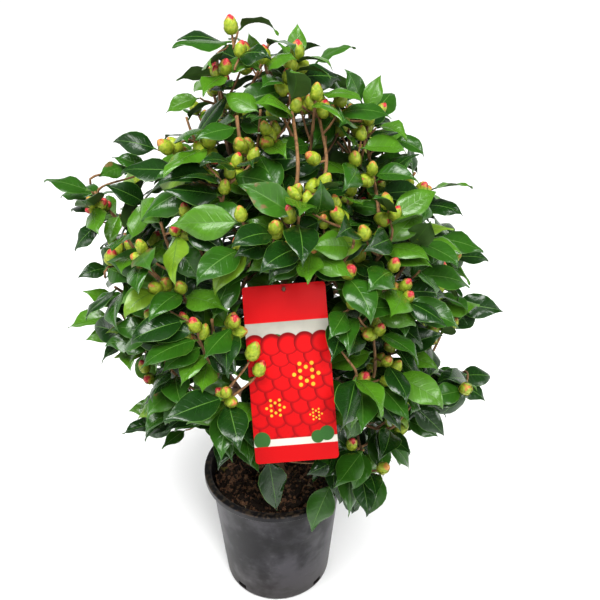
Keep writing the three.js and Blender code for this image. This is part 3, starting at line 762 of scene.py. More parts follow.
def blade(leaf, rows, columns, under):
    """Points of a leaf's upper or lower face, row by row from its root to its tip."""
    root, along, face, length, droop, curl, fold, crown, twist, wave, phase = leaf
    fine = np.linspace(0, 1, BEND_STEPS + 1)
    curled = np.clip((fine - LEAF_CURL_START) / LEAF_CURL_STRETCH, 0, 1) ** LEAF_CURL_POWER
    bend = droop * (LEAF_BALANCE - fine) - curl * curled
    slopes, step = (bend[1:] + bend[:-1]) / 2, length / BEND_STEPS
    run, rise = (np.concatenate([[0], np.cumsum(part(slopes) * step)]) for part in (np.cos, np.sin))
    rows = np.asarray(rows, float)
    across = np.asarray(columns, float)[None, :]
    half = np.interp(rows, *zip(*LEAF_OUTLINE))[:, None] * length
    angle = np.interp(rows, fine, bend)[:, None]
    blade_share = np.clip((rows - STALK_END) / BLADE_START, 0, 1)[:, None]
    rib = np.sqrt(across**2 + RIB_HOLLOW)
    lift = half * (fold * rib - crown * across**2) * blade_share
    waved = np.sin(rows[:, None] * WAVES + phase + across * WAVE_SLANT)
    lift = lift + length * wave * waved * across**2 * blade_share
    body = LEAF_HALF * blade_share + STALK_HALF * (1 - blade_share)
    if under:
        body = body + LEAF_RIB * (1 - rows[:, None]) * np.exp(-(across / RIB_WIDTH) ** 2)
    lift = lift + body * np.sqrt(np.clip(1 - across**2, 0, 1)) * (-1 if under else 1)
    side = np.cross(face, along)
    roll = twist * rows[:, None]
    over = across * half * np.cos(roll) - lift * np.sin(roll)
    lift = across * half * np.sin(roll) + lift * np.cos(roll)
    ahead = np.interp(rows, fine, run)[:, None] - lift * np.sin(angle)
    raised = np.interp(rows, fine, rise)[:, None] + lift * np.cos(angle)
    return root + ahead[..., None] * along + over[..., None] * side + raised[..., None] * face


# What a leaf keeps clear of: limbs and shoots, other leaves, the pot and the label's view
cad_low, cad_high = (np.array(corner) / METRES for corner in cad_box)
all_shoots = [shoot for mass in masses for shoot in mass["shoots"]]
limb_cells, crowd = {}, {}
NEIGHBOURS = [(x, y, z) for x in (-1, 0, 1) for y in (-1, 0, 1) for z in (-1, 0, 1)]


def cell_of(point, size):
    return tuple(math.floor(part / size) for part in point)


def keep_near(cells, size, point, gap):
    """Marks a point that a leaf keeps a gap from."""
    cells.setdefault(cell_of(point, size), []).append((tuple(point), gap))


def meets(points, cells, size):
    for point in points.tolist():
        x, y, z = cell_of(point, size)
        for right, back, over in NEIGHBOURS:
            for kept, gap in cells.get((x + right, y + back, z + over), ()):
                if math.dist(kept, point) < gap:
                    return True
    return False


for limb in [*limbs.values(), *all_shoots, *(stalk for stalk, _ in stalks)]:
    for along in np.linspace(*LIMB_MARKED, max(3, round(limb.length / LIMB_MARK_STEP))):
        keep_near(limb_cells, LIMB_CELL, limb.point(along), limb.radius(along) + LEAF_GAP)


def leaf_is_clear(points, stray):
    if hides_stem(points) or not stray and in_places(points, SKY_PLACES + BARE_PLACES):
        return False
    reach, height = np.hypot(points[:, 0], points[:, 1]), points[:, 2]
    past_box = (points < cad_low - LEAF_PAST_BOX) | (points > cad_high + LEAF_PAST_BOX)
    in_wall = (height < POT_HEIGHT + LEAF_ROOM) & (reach > WALL_TOP_RADIUS - 2 * LEAF_ROOM)
    in_wall &= reach < RIM_RADIUS + LEAF_ROOM
    in_soil = (height < SOIL_LEVEL + 8) & (reach < RIM_RADIUS)
    seen = (points - LABEL_TOP) @ LABEL_AXES
    aside, down, ahead = np.abs(seen[:, 0]) - LABEL_WIDTH / 2, -seen[:, 1], seen[:, 2]
    before = (aside < -LABEL_OVERLAP) & (down > LABEL_OVERLAP) & (down < LABEL_HEIGHT - LABEL_OVERLAP)
    before &= (ahead > -LEAF_ROOM) & (ahead < LABEL_VIEW_DEPTH)
    touching = (aside < LEAF_ROOM) & (down > -LEAF_ROOM) & (down < LABEL_HEIGHT + LEAF_ROOM)
    touching &= np.abs(ahead) < LEAF_ROOM + 1
    if any(fault.any() for fault in (height < LEAF_LOWEST, past_box, in_wall, in_soil, before, touching)):
        return False
    return not meets(points, limb_cells, LIMB_CELL) and not meets(points, crowd, CROWD_CELL)


leaves = []


def keep_leaf(leaf, mass, tint, along, stray=False):
    points = blade(leaf, TEST_ROWS, TEST_COLUMNS, False).reshape(-1, 3)
    if not leaf_is_clear(points, stray):
        return False
    for point in points:
        keep_near(crowd, CROWD_CELL, point, CROWD_GAP)
    leaves.append((leaf, mass, tint, along, stray))
    return True


def stray_leaf(index, mass, root, tip, droop, facing):
    draw = seeded(index + 901)
    reach = tip - root
    length = max(np.linalg.norm(reach) * (1 + STRAY_STRETCH * droop), LEAF_LENGTH * STRAY_LEAST)
    for attempt in range(STRAY_ATTEMPTS):
        roll = spread(draw, STRAY_ROLL[0] + STRAY_ROLL[1] * attempt)
        direction = unit(reach + UP * spread(draw, STRAY_STEER * attempt))
        face = square_to(UP * STRAY_RISE + outward(0) * facing + side_of(direction) * roll, direction)
        curl, fold, twist = above(draw, *STRAY_CURL), about(draw, *STRAY_FOLD), spread(draw, STRAY_TWIST)
        shape = (droop, curl, fold, LEAF_CROWN[0], twist, above(draw, *STRAY_WAVE), FULL_TURN * draw())
        if keep_leaf((root, direction, face, length, *shape), mass, draw(), 0.8, True):
            return True
    return False


def leaf_on(mass, shoot, order, along, tally):
    """Puts a leaf on a shoot, at the first turn about it that is clear; says if one was."""
    root = shoot.point(along)
    tangent = shoot.tangent(min(along, LAST_LEAF_TANGENT))
    side = side_of(tangent)
    draw = seeded(mass["seed"] + 31 * tally + order + 5000)
    length = LEAF_LENGTH * above(draw, *LEAF_SIZE)
    jitter, roll = spread(draw, LEAF_JITTER), spread(draw, LEAF_ROLL)
    widest, closed, uneven = LEAF_OPENING
    opening = math.radians(widest - closed * along + spread(draw, uneven))
    away = unit(level(root - crown_middle(root[2])))
    droop, curl = about(draw, *LEAF_DROOP), above(draw, *LEAF_CURL)
    fold, crown = about(draw, *LEAF_FOLD), about(draw, *LEAF_CROWN)
    twist, wave, phase = spread(draw, LEAF_TWIST), above(draw, *LEAF_WAVE), draw() * FULL_TURN
    tint = draw()
    for attempt in range(LEAF_ATTEMPTS):
        around = turned(side, tangent, order * GOLDEN_ANGLE + jitter + attempt * LEAF_RETURN)
        length *= LEAF_SHRINK
        direction = tangent * math.cos(opening) + around * math.sin(opening)
        direction = unit(direction + away * LEAF_AWAY + UP * (-LEAF_LEVELLING * direction[2] - LEAF_SAG))
        face = square_to(UP + away * LEAF_FACING + side * roll, direction)
        leaf = (root, direction, face, length, droop, curl, fold, crown, twist, wave, phase)
        if keep_leaf(leaf, mass, tint, along):
            return True
    return False


for root, along, _, length, *_ in buds:
    for share in BUD_MARKS:
        keep_near(crowd, CROWD_CELL, root + along * length * share, CROWD_GAP)
ends = {}
for index, ((_, tip, droop, facing), (stalk, mass)) in enumerate(zip(STRAY_LEAVES, stalks)):
    if stray_leaf(index, mass, stalk.point(1), at_depth(*tip), droop, facing):
        ends[id(stalk)] = 1
leaf_counts = {id(shoot): max(2, round(shoot.length * LEAFY_SHARE / LEAF_SPACING)) for shoot in all_shoots}
for order in range(max(leaf_counts.values())):
    for mass in masses:
        for index, shoot in enumerate(mass["shoots"]):
            count = leaf_counts[id(shoot)]
            along = FIRST_LEAF - LEAFY_STRETCH * order / count
            if order < count and leaf_on(mass, shoot, order, along, index + 1):
                ends[id(shoot)] = max(ends.get(id(shoot), 0), along + 1 - FIRST_LEAF)


# Finishes: shader maths written as arithmetic on sockets
class Wire:
    """A shader socket. Arithmetic on it adds its Math or Vector Math nodes."""

    def __init__(self, finish, socket):
        self.finish = finish
        self.socket = socket

    def joined(self, operation, left, right=0.0):
        plain = all(side.socket.type == "VALUE" for side in (left, right) if isinstance(side, Wire))
        kind = "ShaderNodeMath" if plain else "ShaderNodeVectorMath"
        return self.finish.node(kind, {"operation": operation}, {0: left, 1: right})

    def __add__(self, other):
        return self.joined("ADD", self, other)

    def __radd__(self, other):
        return self.joined("ADD", other, self)

    def __sub__(self, other):
        return self.joined("SUBTRACT", self, other)

    def __rsub__(self, other):
        return self.joined("SUBTRACT", other, self)

    def __mul__(self, other):
        return self.joined("MULTIPLY", self, other)

    def __rmul__(self, other):
        return self.joined("MULTIPLY", other, self)

    def __pow__(self, other):
        return self.joined("POWER", self, other)

    def __rpow__(self, other):
        return self.joined("POWER", other, self)

    def __abs__(self):
        return self.joined("ABSOLUTE", self)


class Finish:
    """A material whose surface is set by values, and by wires where they vary over it."""

    def __init__(self, name, world=None):
        self.material = world or bpy.data.materials.new(name)
        self.material.use_nodes = True
        self.tree = self.material.node_tree
        self.shader = self.tree.nodes["Background" if world else "Principled BSDF"]

    def node(self, kind, settings, inputs, output=0):
        made = self.tree.nodes.new(kind)
        for key, value in settings.items():
            if key == "stops":
                ramp = made.color_ramp
                while len(ramp.elements) < len(value):
                    ramp.elements.new(1.0)
                for element, (position, colour) in zip(ramp.elements, value):
                    element.position = position
                    element.color = (*colour, 1.0)
            else:
                setattr(made, key, value)
        for key, value in inputs.items():
            self.set(made.inputs[key], value)
        return Wire(self, made.outputs[output])

    def set(self, socket, value):
        if isinstance(value, Wire):
            self.tree.links.new(value.socket, socket)
        elif socket.type == "RGBA":
            socket.default_value = (*value, 1.0) if len(value) == 3 else value
        elif socket.type == "VECTOR" and isinstance(value, (int, float)):
            socket.default_value = (value, value, value)
        else:
            socket.default_value = value

    def surface(self, values):
        for key, value in values.items():
            self.set(self.shader.inputs[key], value)
        return self.material

    def place(self):
        return self.node("ShaderNodeTexCoord", {}, {}, 3)

    def stretched(self, across, up):
        return self.place() * self.node("ShaderNodeCombineXYZ", {}, {0: across, 1: across, 2: up})

    def part(self, vector, index):
        return self.node("ShaderNodeSeparateXYZ", {}, {0: vector}, index)

    def noise(self, scale, detail=3.0, vector=None, roughness=0.55):
        inputs = {"Scale": scale, "Detail": detail, "Roughness": roughness}
        return self.node("ShaderNodeTexNoise", {}, {"Vector": vector or self.place(), **inputs})

    def cells(self, scale, vector=None):
        return self.node("ShaderNodeTexVoronoi", {}, {"Vector": vector or self.place(), "Scale": scale})

    def ramp(self, factor, stops):
        return self.node("ShaderNodeValToRGB", {"stops": stops}, {0: factor})

    def steps(self, value, low, high):
        """0 below low, 1 above high, and smooth between."""
        settings = {"interpolation_type": "SMOOTHSTEP"}
        return self.node("ShaderNodeMapRange", settings, {0: value, 1: low, 2: high})

    def mix(self, factor, first, second):
        return self.node("ShaderNodeMix", {"data_type": "RGBA"}, {0: factor, 6: first, 7: second}, 2)

    def bump(self, height, strength, distance):
        return self.node("ShaderNodeBump", {}, {"Strength": strength, "Distance": distance, "Height": height})


def shaded(colour, factor):
    return tuple(min(1.0, part * factor) for part in colour)


def leaf_upper(name, colour, gloss, worn=0.0, shine=0.5):
    """Glossy upper face, mottled, with side veins that run forward from the midrib."""
    finish = Finish(name)
    blade_place = finish.node("ShaderNodeAttribute", {"attribute_name": "blade"}, {}, 1)
    along, across = finish.part(blade_place, 0), abs(finish.part(blade_place, 1))
    veins = finish.node("ShaderNodeMath", {"operation": "SINE"}, {0: (along * 9.0 - across * 1.5) * 6.283})
    veins = finish.steps(veins, 0.72, 1.0) * (1 - across)
    mottle = finish.noise(55, 4.0)
    base = finish.mix(mottle, shaded(colour, 0.66), shaded(colour, 1.4))
    colour_at = finish.mix(veins * 0.2, base, shaded(colour, 2.2))
    if worn:
        patch = finish.steps(finish.noise(38, 3.0) + across * 0.1, 0.68, 0.72)
        colour_at = finish.mix(patch * worn, colour_at, (0.14, 0.085, 0.032))
    relief = veins * -0.6 + finish.noise(240, 2.0) * 0.5
    return finish.surface({
        "Base Color": colour_at, "Roughness": finish.noise(90, 2.0) * 0.12 + gloss,
        "Normal": finish.bump(relief, 0.45, 0.0006), "Specular IOR Level": shine,
    })


def matt_green(name, colour, gloss=0.55):
    finish = Finish(name)
    mottle = finish.noise(70, 3.0)
    return finish.surface({
        "Base Color": finish.mix(mottle, shaded(colour, 0.75), shaded(colour, 1.25)), "Roughness": gloss,
        "Normal": finish.bump(finish.noise(300, 2.0), 0.25, 0.0004),
    })


def bark(name, dark, light):
    """Smooth young bark with long streaks, paler lenticels and fine cracks."""
    finish = Finish(name)
    streaks = finish.noise(260, 5.0, finish.stretched(1.0, 0.22), 0.65)
    specks = finish.steps(finish.cells(420), 0.16, 0.08)
    base = finish.ramp(streaks, ((0.3, dark), (0.62, light)))
    return finish.surface({
        "Base Color": finish.mix(specks * 0.35, base, shaded(light, 1.6)), "Roughness": 0.72,
        "Normal": finish.bump(streaks + specks * 0.4, 0.6, 0.0012),
    })


def bud_finish(name, low, high, gloss=0.42):
    finish = Finish(name)
    streaks = finish.noise(320, 4.0)
    return finish.surface({
        "Base Color": finish.mix(finish.steps(streaks, 0.35, 0.68), low, high), "Roughness": gloss,
        "Normal": finish.bump(finish.noise(900, 2.0), 0.25, 0.0003), "Specular IOR Level": 0.35,
    })


def pot_plastic(name):
    """Charcoal plastic: dull smudges, dust, pale scuffs, soil along the rim and the foot, and a rim painted
    darker for its shade.
    """
    finish = Finish(name)
    height = finish.part(finish.place(), 2)
    smudge = finish.noise(9, 5.0, roughness=0.6)
    fine = finish.noise(70, 5.0)
    base = finish.mix(finish.steps(smudge, 0.36, 0.62), (0.004, 0.0036, 0.005), (0.034, 0.031, 0.039))
    streak = finish.noise(26, 5.0, finish.stretched(0.35, 1.0), 0.7)
    base = finish.mix(finish.steps(streak, 0.5, 0.62) * 0.7, base, (0.003, 0.003, 0.003))
    base = finish.mix(finish.steps(height, 0.1, 0.0) * 0.55, base, (0.026, 0.020, 0.017))
    # painted shade: from the step up to the lip the plastic is darker, for the shade under the rim and along
    # the step
    base = finish.mix(finish.steps(height, 0.192, 0.196) * 0.7, base, (0.004, 0.004, 0.005))
    specks = finish.steps(finish.cells(260), 0.14, 0.07) * finish.steps(finish.noise(22), 0.5, 0.6)
    base = finish.mix(specks * 0.8, base, (0.004, 0.004, 0.004))
    dirt = finish.steps(height, 0.2085, 0.211) * finish.steps(finish.noise(150, 5.0), 0.46, 0.6)
    base = finish.mix(dirt * 0.85, base, (0.070, 0.050, 0.034))
    film = finish.steps(smudge + finish.noise(34, 4.0) * 0.2, 0.48, 0.68)
    return finish.surface({
        "Base Color": finish.mix(finish.steps(fine, 0.58, 0.78) * 0.3, base, (0.10, 0.095, 0.10)),
        "Roughness": finish.steps(smudge, 0.3, 0.7) * 0.16 + 0.36, "Specular IOR Level": 0.17,
        "Coat Weight": film * 0.36, "Coat Roughness": 0.34, "Normal": finish.bump(fine, 0.12, 0.0004),
    })


def soil(name, dark, light):
    finish = Finish(name)
    grain = finish.noise(380, 6.0, roughness=0.7)
    return finish.surface({
        "Base Color": finish.ramp(grain, ((0.32, dark), (0.7, light))), "Roughness": 0.92,
        "Normal": finish.bump(grain, 0.9, 0.002),
    })


# Finishes by name: what makes them, then their colours, gloss and other values
FINISHES = {
    name: maker(name, *values) for maker, name, *values in (
        # the first leaf kind is a dull, darker copy of the leaf colour: painted shade for leaves low in the
        # crown and deep inside it
        (leaf_upper, "leaf_shaded", (0.004, 0.0176, 0.0032), 0.26, 0.0, 0.25),
        (leaf_upper, "leaf_dark", (0.008, 0.0352, 0.004), 0.17),
        (leaf_upper, "leaf_mid", (0.0208, 0.0784, 0.0056), 0.17),
        (leaf_upper, "leaf_bright", (0.056, 0.152, 0.0088), 0.2),
        (leaf_upper, "leaf_young", (0.12, 0.216, 0.0128), 0.24),
        (leaf_upper, "leaf_worn", (0.032, 0.104, 0.008), 0.24, 0.9),
        (matt_green, "leaf_under", (0.048, 0.105, 0.020)),
        (matt_green, "leaf_rib", (0.064, 0.150, 0.020), 0.42),
        (matt_green, "leaf_edge", (0.062, 0.145, 0.018), 0.4),
        (bark, "bark", (0.085, 0.045, 0.028), (0.27, 0.155, 0.095)),
        (bark, "twig_bark", (0.085, 0.040, 0.017), (0.26, 0.140, 0.058)),
        (bud_finish, "bud_scale", (0.19, 0.27, 0.018), (0.33, 0.385, 0.034)),
        (bud_finish, "bud_edge", (0.30, 0.25, 0.040), (0.42, 0.34, 0.075)),
        (bud_finish, "bud_blush", (0.40, 0.12, 0.045), (0.45, 0.30, 0.060)),
        (bud_finish, "bud_petal", (0.36, 0.014, 0.030), (0.52, 0.085, 0.075), 0.36),
        (pot_plastic, "pot_plastic"),
        (soil, "soil", (0.001, 0.0006, 0.0005), (0.012, 0.007, 0.004)),
        (soil, "bark_chip", (0.050, 0.023, 0.013), (0.36, 0.19, 0.105)),
        (soil, "peat_crumb", (0.004, 0.002, 0.0014), (0.050, 0.026, 0.015)),
        (soil, "pale_chip", (0.20, 0.14, 0.08), (0.50, 0.38, 0.24)),
        (soil, "moss", (0.07, 0.06, 0.012), (0.26, 0.22, 0.045)),
    )
}


# Meshes
BOX_CORNERS = np.array([(x, y, z) for x in (-1, 1) for y in (-1, 1) for z in (-1, 1)], float)
BOX_FACES = [(0, 1, 3, 2), (4, 6, 7, 5), (0, 4, 5, 1), (2, 3, 7, 6), (0, 2, 6, 4), (1, 5, 7, 3)]


def shown(name, data):
    made = bpy.data.objects.new(name, data)
    bpy.context.scene.collection.objects.link(made)
    return made


class Pile:
    """Closed shapes gathered into one piece, with a finish for every face."""

    def __init__(self):
        self.points = []
        self.faces = []
        self.kinds = []
        self.marks = []
        self.count = 0

    def add(self, points, faces, kinds, marks=None):
        self.points.append(points)
        self.faces.extend([tuple(corner + self.count for corner in face) for face in faces])
        self.kinds.extend(kinds)
        if marks is not None:
            self.marks.append(marks)
        self.count += len(points)

    def make(self, name, slot, nodes=(), crease=None):
        mesh = bpy.data.meshes.new(name)
        mesh.from_pydata((np.concatenate(self.points) * METRES).tolist(), [], self.faces)
        used = sorted(set(self.kinds))
        for kind in used:
            mesh.materials.append(FINISHES[kind])
        order = {kind: index for index, kind in enumerate(used)}
        mesh.polygons.foreach_set("material_index", [order[kind] for kind in self.kinds])
        mesh.polygons.foreach_set("use_smooth", [True] * len(self.faces))
        if self.marks:
            attribute = mesh.attributes.new("blade", "FLOAT_VECTOR", "POINT")
            attribute.data.foreach_set("vector", np.concatenate(self.marks).astype(np.float32).ravel())
        mesh.update()
        if crease:
            mesh.set_sharp_from_angle(angle=math.radians(crease))
        piece = shown(name, mesh)
        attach(piece, "root")
        if nodes:
            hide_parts(*nodes)
        return piece


def tube_faces(rings, around):
    """Faces of a closed tube, numbered as a point, its rings and a point, with their ring and column."""
    last = 1 + rings * around
    faces, cells = [], []
    for column in range(around):
        beside = (column + 1) % around
        faces.append((0, 1 + beside, 1 + column))
        cells.append((0, column))
        for ring in range(rings - 1):
            low, high = 1 + ring * around, 1 + (ring + 1) * around
            faces.append((low + column, low + beside, high + beside, high + column))
            cells.append((ring + 1, column))
        high = 1 + (rings - 1) * around
        faces.append((high + column, high + beside, last))
        cells.append((rings, column))
    return faces, cells


def tube_points(centres, radii, around, relief=None):
    """A closed tube about a line of centres, whose first and last are its end points."""
    tangents = np.gradient(centres, axis=0)
    side = side_of(unit(tangents[1]))
    turns = turns_of(around)
    points = [centres[:1]]
    for index in range(1, len(centres) - 1):
        tangent = unit(tangents[index])
        side = square_to(side, tangent)
        radius = radii[index] * (1 if relief is None else relief(centres[index], turns)[:, None])
        points.append(centres[index] + ring_about(turns, side, np.cross(tangent, side)) * radius)
    return np.concatenate([*points, centres[-1:]])


def add_tube(pile, centres, radii, around, kind, relief=None):
    faces, cells = tube_faces(len(centres) - 2, around)
    pile.add(tube_points(centres, radii, around, relief), faces, [kind] * len(faces))


def limb_line(limb, spacing, start=0.0, end=1.0):
    shares = np.linspace(start, end, max(5, round(limb.length * (end - start) / spacing)))
    shares = np.concatenate([[start], shares, [end]])
    return limb.point(shares), limb.radius(shares), shares


# Trunk and boughs, with knots, ridges and a swollen foot
BARK_SCALE = 0.035
BARK_DEPTH = 0.16
BOUGH_SIDES = 14
SPUR_SIDES = 9


def bark_relief(centre, turns):
    around = [Vector((math.cos(turn), math.sin(turn), 0)) for turn in turns]
    knots = [noise.noise(Vector(centre * BARK_SCALE) + spot) for spot in around]
    return 1 + BARK_DEPTH * np.array(knots)


wood = Pile()
for limb in limbs.values():
    centres, radii, _ = limb_line(limb, 5)
    add_tube(wood, centres, radii, BOUGH_SIDES, "bark", bark_relief)
centres, radii, _ = limb_line(spur, 8)
add_tube(wood, centres, radii, SPUR_SIDES, "bark")
wood.make("trunk_and_boughs", "bark", ["trunk", *(f"bough_{name}" for name in BOUGHS)])

# Twigs in one piece, and the foliage in a piece to each part of the crown
PARTS = {
    "low": ("right_low", "left_low", "back_low", "front_low", "front_mid"),
    "left": ("left", "left_front"),
    "right": ("right", "right_front"),
    "back": ("back_left", "back_right"),
    "middle": ("front", "leader_right"),
    "top": ("leader_left", "leader_back", "leader_centre"),
}
KNOT_STEP = 24
KNOT_LENGTH = 2.6
KNOT_SWELL = 0.22
TWIG_SLIMMING = 0.88
TWIG_SIDES = 7
part_of = {bough: part for part, boughs in PARTS.items() for bough in boughs}
foliage = {part: Pile() for part in PARTS}
twigs = Pile()
for mass in masses:
    for shoot in [*mass["shoots"], *(stalk for stalk, owner in stalks if owner is mass)]:
        end = max(ends.get(id(shoot), 0), bud_ends.get(id(shoot), 0))
        if end == 0:
            continue
        centres, radii, shares = limb_line(shoot, 6, 0, end)
        knots = np.exp(-(((shares * shoot.length) % KNOT_STEP - KNOT_STEP / 2) / KNOT_LENGTH) ** 2)
        add_tube(twigs, centres, radii * TWIG_SLIMMING * (1 + KNOT_SWELL * knots), TWIG_SIDES, "twig_bark")
twigs.make("twigs", "bark")

# Leaf tones: each leaf has a random tint, but its tone also falls lower in the crown and rises higher up, and
# leaves low or deep in the crown take the darkest, dullest kind: painted shade and light
MIDDLE_HEIGHT = 500
CROWN_SPAN = 600
TIP_MIDDLE = 0.6
TIP_TONE = 0.14
PAINTED_SHADE_BY_HEIGHT = 0.42
INNER_PAINTED_SHADE_BY_HEIGHT = 0.35
PAINTED_SHADE_BELOW = 0.55
DARK_BELOW = 0.42
BRIGHT_FROM = 0.8
YOUNG_FROM = 0.972
WORN_BETWEEN = (0.6, 0.614)
STALK_RINGS = 3
UPPER = len(LEAF_COLUMNS) - 1
leaf_faces, leaf_cells = [], []
for face, (ring, column) in zip(*tube_faces(len(LEAF_ROWS), 2 * len(LEAF_COLUMNS) - 2)):
    # the same diagonal above and below keeps the two faces of a thin blade apart
    splits = ((0, 1, 2), (0, 2, 3)) if column < UPPER else ((0, 1, 3), (1, 2, 3))
    for split in splits if len(face) == 4 else ((0, 1, 2),):
        leaf_faces.append(tuple(face[corner] for corner in split))
        leaf_cells.append((ring, column))


def leaf_kind(ring, column, upper):
    if ring < STALK_RINGS:
        return "leaf_rib"
    if column < UPPER:
        if column in (0, UPPER - 1):
            return "leaf_edge"
        return "leaf_rib" if column == UPPER // 2 else upper
    return "leaf_rib" if column == UPPER + UPPER // 2 else "leaf_under"


LEAF_KINDS = {
    upper: [leaf_kind(ring, column, upper) for ring, column in leaf_cells]
    for upper in ("leaf_shaded", "leaf_dark", "leaf_mid", "leaf_bright", "leaf_young", "leaf_worn")
}
columns = [*LEAF_COLUMNS, *LEAF_COLUMNS[-2:0:-1]]
leaf_marks = np.array([
    (0, 0, 0), *((row, column, 0) for row in LEAF_ROWS for column in columns), (1, 0, 0),
])
for leaf, mass, tint, along, stray in leaves:
    upper = blade(leaf, LEAF_ROWS, LEAF_COLUMNS, False)
    under = blade(leaf, LEAF_ROWS, LEAF_COLUMNS[-2:0:-1], True)
    tip = blade(leaf, [1.0], [0.0], False)[0]
    points = np.concatenate([leaf[0][None, :], np.concatenate([upper, under], axis=1).reshape(-1, 3), tip])
    root = leaf[0]
    # painted shade: lower leaves get darker kinds, higher ones lighter, and low or inner leaves the darkest
    # kind
    height = (root[2] - MIDDLE_HEIGHT) / CROWN_SPAN
    shade = tint + TIP_TONE * (along - TIP_MIDDLE) + PAINTED_SHADE_BY_HEIGHT * height
    kind = "leaf_dark" if shade < DARK_BELOW else "leaf_mid" if shade < BRIGHT_FROM else "leaf_bright"
    if crown_share(root) + INNER_PAINTED_SHADE_BY_HEIGHT * height < PAINTED_SHADE_BELOW and not stray:
        kind = "leaf_shaded"
    elif tint > YOUNG_FROM:
        kind = "leaf_young"
    elif WORN_BETWEEN[0] < shade < WORN_BETWEEN[1]:
        kind = "leaf_worn"
    foliage[part_of[mass["bough"]]].add(points, leaf_faces, LEAF_KINDS[kind], leaf_marks)
for part, pile in foliage.items():
    names = [f"foliage_{mass['name']}" for mass in masses if part_of[mass["bough"]] == part]
    pile.make(f"leaves_{part}", "foliage", names, 70)

# Buds: petals at the heart, wrapped in scales that overlap like tiles, the outer ones lowest
BUD_PROFILE = (
    (0, 0.3), (0.05, 0.6), (0.16, 0.88), (0.34, 1.0), (0.54, 1.0), (0.72, 0.86), (0.86, 0.6), (0.95, 0.34),
    (1, 0.1),
)
SCALE_TIERS = ((0.0, 0.4, 4, 1.12), (0.05, 0.72, 3, 1.06), (0.2, 0.985, 3, 1.0))
SCALE_OUTLINE = ((0.12, 0.82), (0.5, 1.0), (0.8, 0.78), (0.95, 0.4))
SCALE_COLUMNS = (1, 0.55, 0, -0.55, -1)
SCALE_ROUNDING = 0.05
SCALE_FOOT = 0.98
SCALE_SWELL = 0.03
SCALE_TILT = 0.022
SCALE_OVERLAP = 1.2
SHORTER_TIER = 0.06
RED_HEART_FROM = 0.5
OPEN_FROM = 0.6
BLUSH_FROM = 0.4
BLUSH_RING = 3
CORE_SWELL = 0.92
BACK_OF = -40
CORE_SHARES = (0.06, 0.3, 0.55, 0.75, 0.88, 0.965)
CORE_SIDES = 9
scale_faces, scale_cells = tube_faces(len(SCALE_OUTLINE), 2 * len(SCALE_COLUMNS) - 2)
core_faces, _ = tube_faces(len(CORE_SHARES), CORE_SIDES)


def on_bud(bud, share, turn, swell):
    root, along, side, length, radius, *_ = bud
    reach = np.interp(share, *zip(*BUD_PROFILE)) * radius * swell
    ring = ring_about(turn, side, np.cross(along, side))
    return root + np.outer(share * length, along) + ring * reach[:, None]


def scale_points(bud, start, end, middle, reach, swell):
    rows = []
    outer, inner = np.array(SCALE_COLUMNS), np.array(SCALE_COLUMNS[-2:0:-1])
    for row, wide in SCALE_OUTLINE:
        for line, thick in ((outer, SCALE_SWELL), (inner, -SCALE_SWELL)):
            share = start + (end - start) * row - SCALE_ROUNDING * line**2 * row
            lift = swell + SCALE_TILT * line + thick * (1 - np.abs(line) ** 3)
            rows.append(on_bud(bud, share, middle - line * wide * reach, lift))
    foot = on_bud(bud, np.array([start]), np.array([middle]), swell * SCALE_FOOT)
    tip = on_bud(bud, np.array([end]), np.array([middle]), swell)
    return np.concatenate([foot, *rows, tip])


bud_piles = {"front": Pile(), "back": Pile()}
for bud in buds:
    bud_pile = bud_piles["front" if bud[0][1] < BACK_OF else "back"]
    hue = bud[5]
    turns = np.tile(turns_of(CORE_SIDES), len(CORE_SHARES))
    foot, tip = on_bud(bud, np.array([0.0, 1.0]), np.zeros(2), 0.0)
    rings = on_bud(bud, np.repeat(CORE_SHARES, CORE_SIDES), turns, CORE_SWELL)
    heart = "bud_petal" if hue > RED_HEART_FROM else "bud_blush"
    bud_pile.add(np.concatenate([[foot], rings, [tip]]), core_faces, [heart] * len(core_faces))
    for tier, (start, end, count, swell) in enumerate(SCALE_TIERS):
        high = tier == len(SCALE_TIERS) - 1
        if high and hue > OPEN_FROM:
            end -= SHORTER_TIER
        kinds = [
            "bud_blush" if high and ring >= BLUSH_RING and hue > BLUSH_FROM else
            "bud_edge" if ring == len(SCALE_OUTLINE) else "bud_scale"
            for ring, _ in scale_cells
        ]
        for order in range(count):
            middle = (order + tier * 0.5) * 2 * math.pi / count + hue * 6
            points = scale_points(bud, start, end, middle, math.pi / count * SCALE_OVERLAP, swell)
            bud_pile.add(points, scale_faces, kinds)
for part, pile in bud_piles.items():
    pile.make(f"buds_{part}", "foliage", (), 60)


# Pot: the source's outline with its edges rounded, and the notches cut through
def inner_radius(height):
    under_step = POT_HEIGHT - RIM_DEPTH - STEP_DEPTH
    levels, radii = (FOOT_ROUNDING, under_step), (WALL_FOOT_RADIUS, WALL_TOP_RADIUS)
    return float(np.interp(height, levels, radii)) - WALL_THICKNESS


def rounded(corners, sharpness):
    """An outline with each corner replaced by a short curve, cut back by its own amount."""
    made = []
    for index, corner in enumerate(corners):
        amount = sharpness[index]
        if not amount:
            made.append(corner)
            continue
        before, after = corners[index - 1], corners[index + 1]
        start, end = (
            corner + (other - corner) * min(0.5, amount / max(np.linalg.norm(other - corner), 1e-6))
            for other in (before, after)
        )
        for share in (0, 0.25, 0.5, 0.75, 1):
            made.append((1 - share) ** 2 * start + 2 * share * (1 - share) * corner + share**2 * end)
    return made


def lathe(outline, sides):
    """A closed solid of revolution about Z, from an outline that starts and ends on the axis."""
    circle = np.stack([np.cos(turns_of(sides)), np.sin(turns_of(sides)), np.zeros(sides)], axis=1)
    rings = [circle * reach + UP * height for reach, height in outline[1:-1]]
    ends = [UP[None, :] * outline[end][1] for end in (0, -1)]
    return np.concatenate([ends[0], *rings, ends[1]]), tube_faces(len(rings), sides)[0]


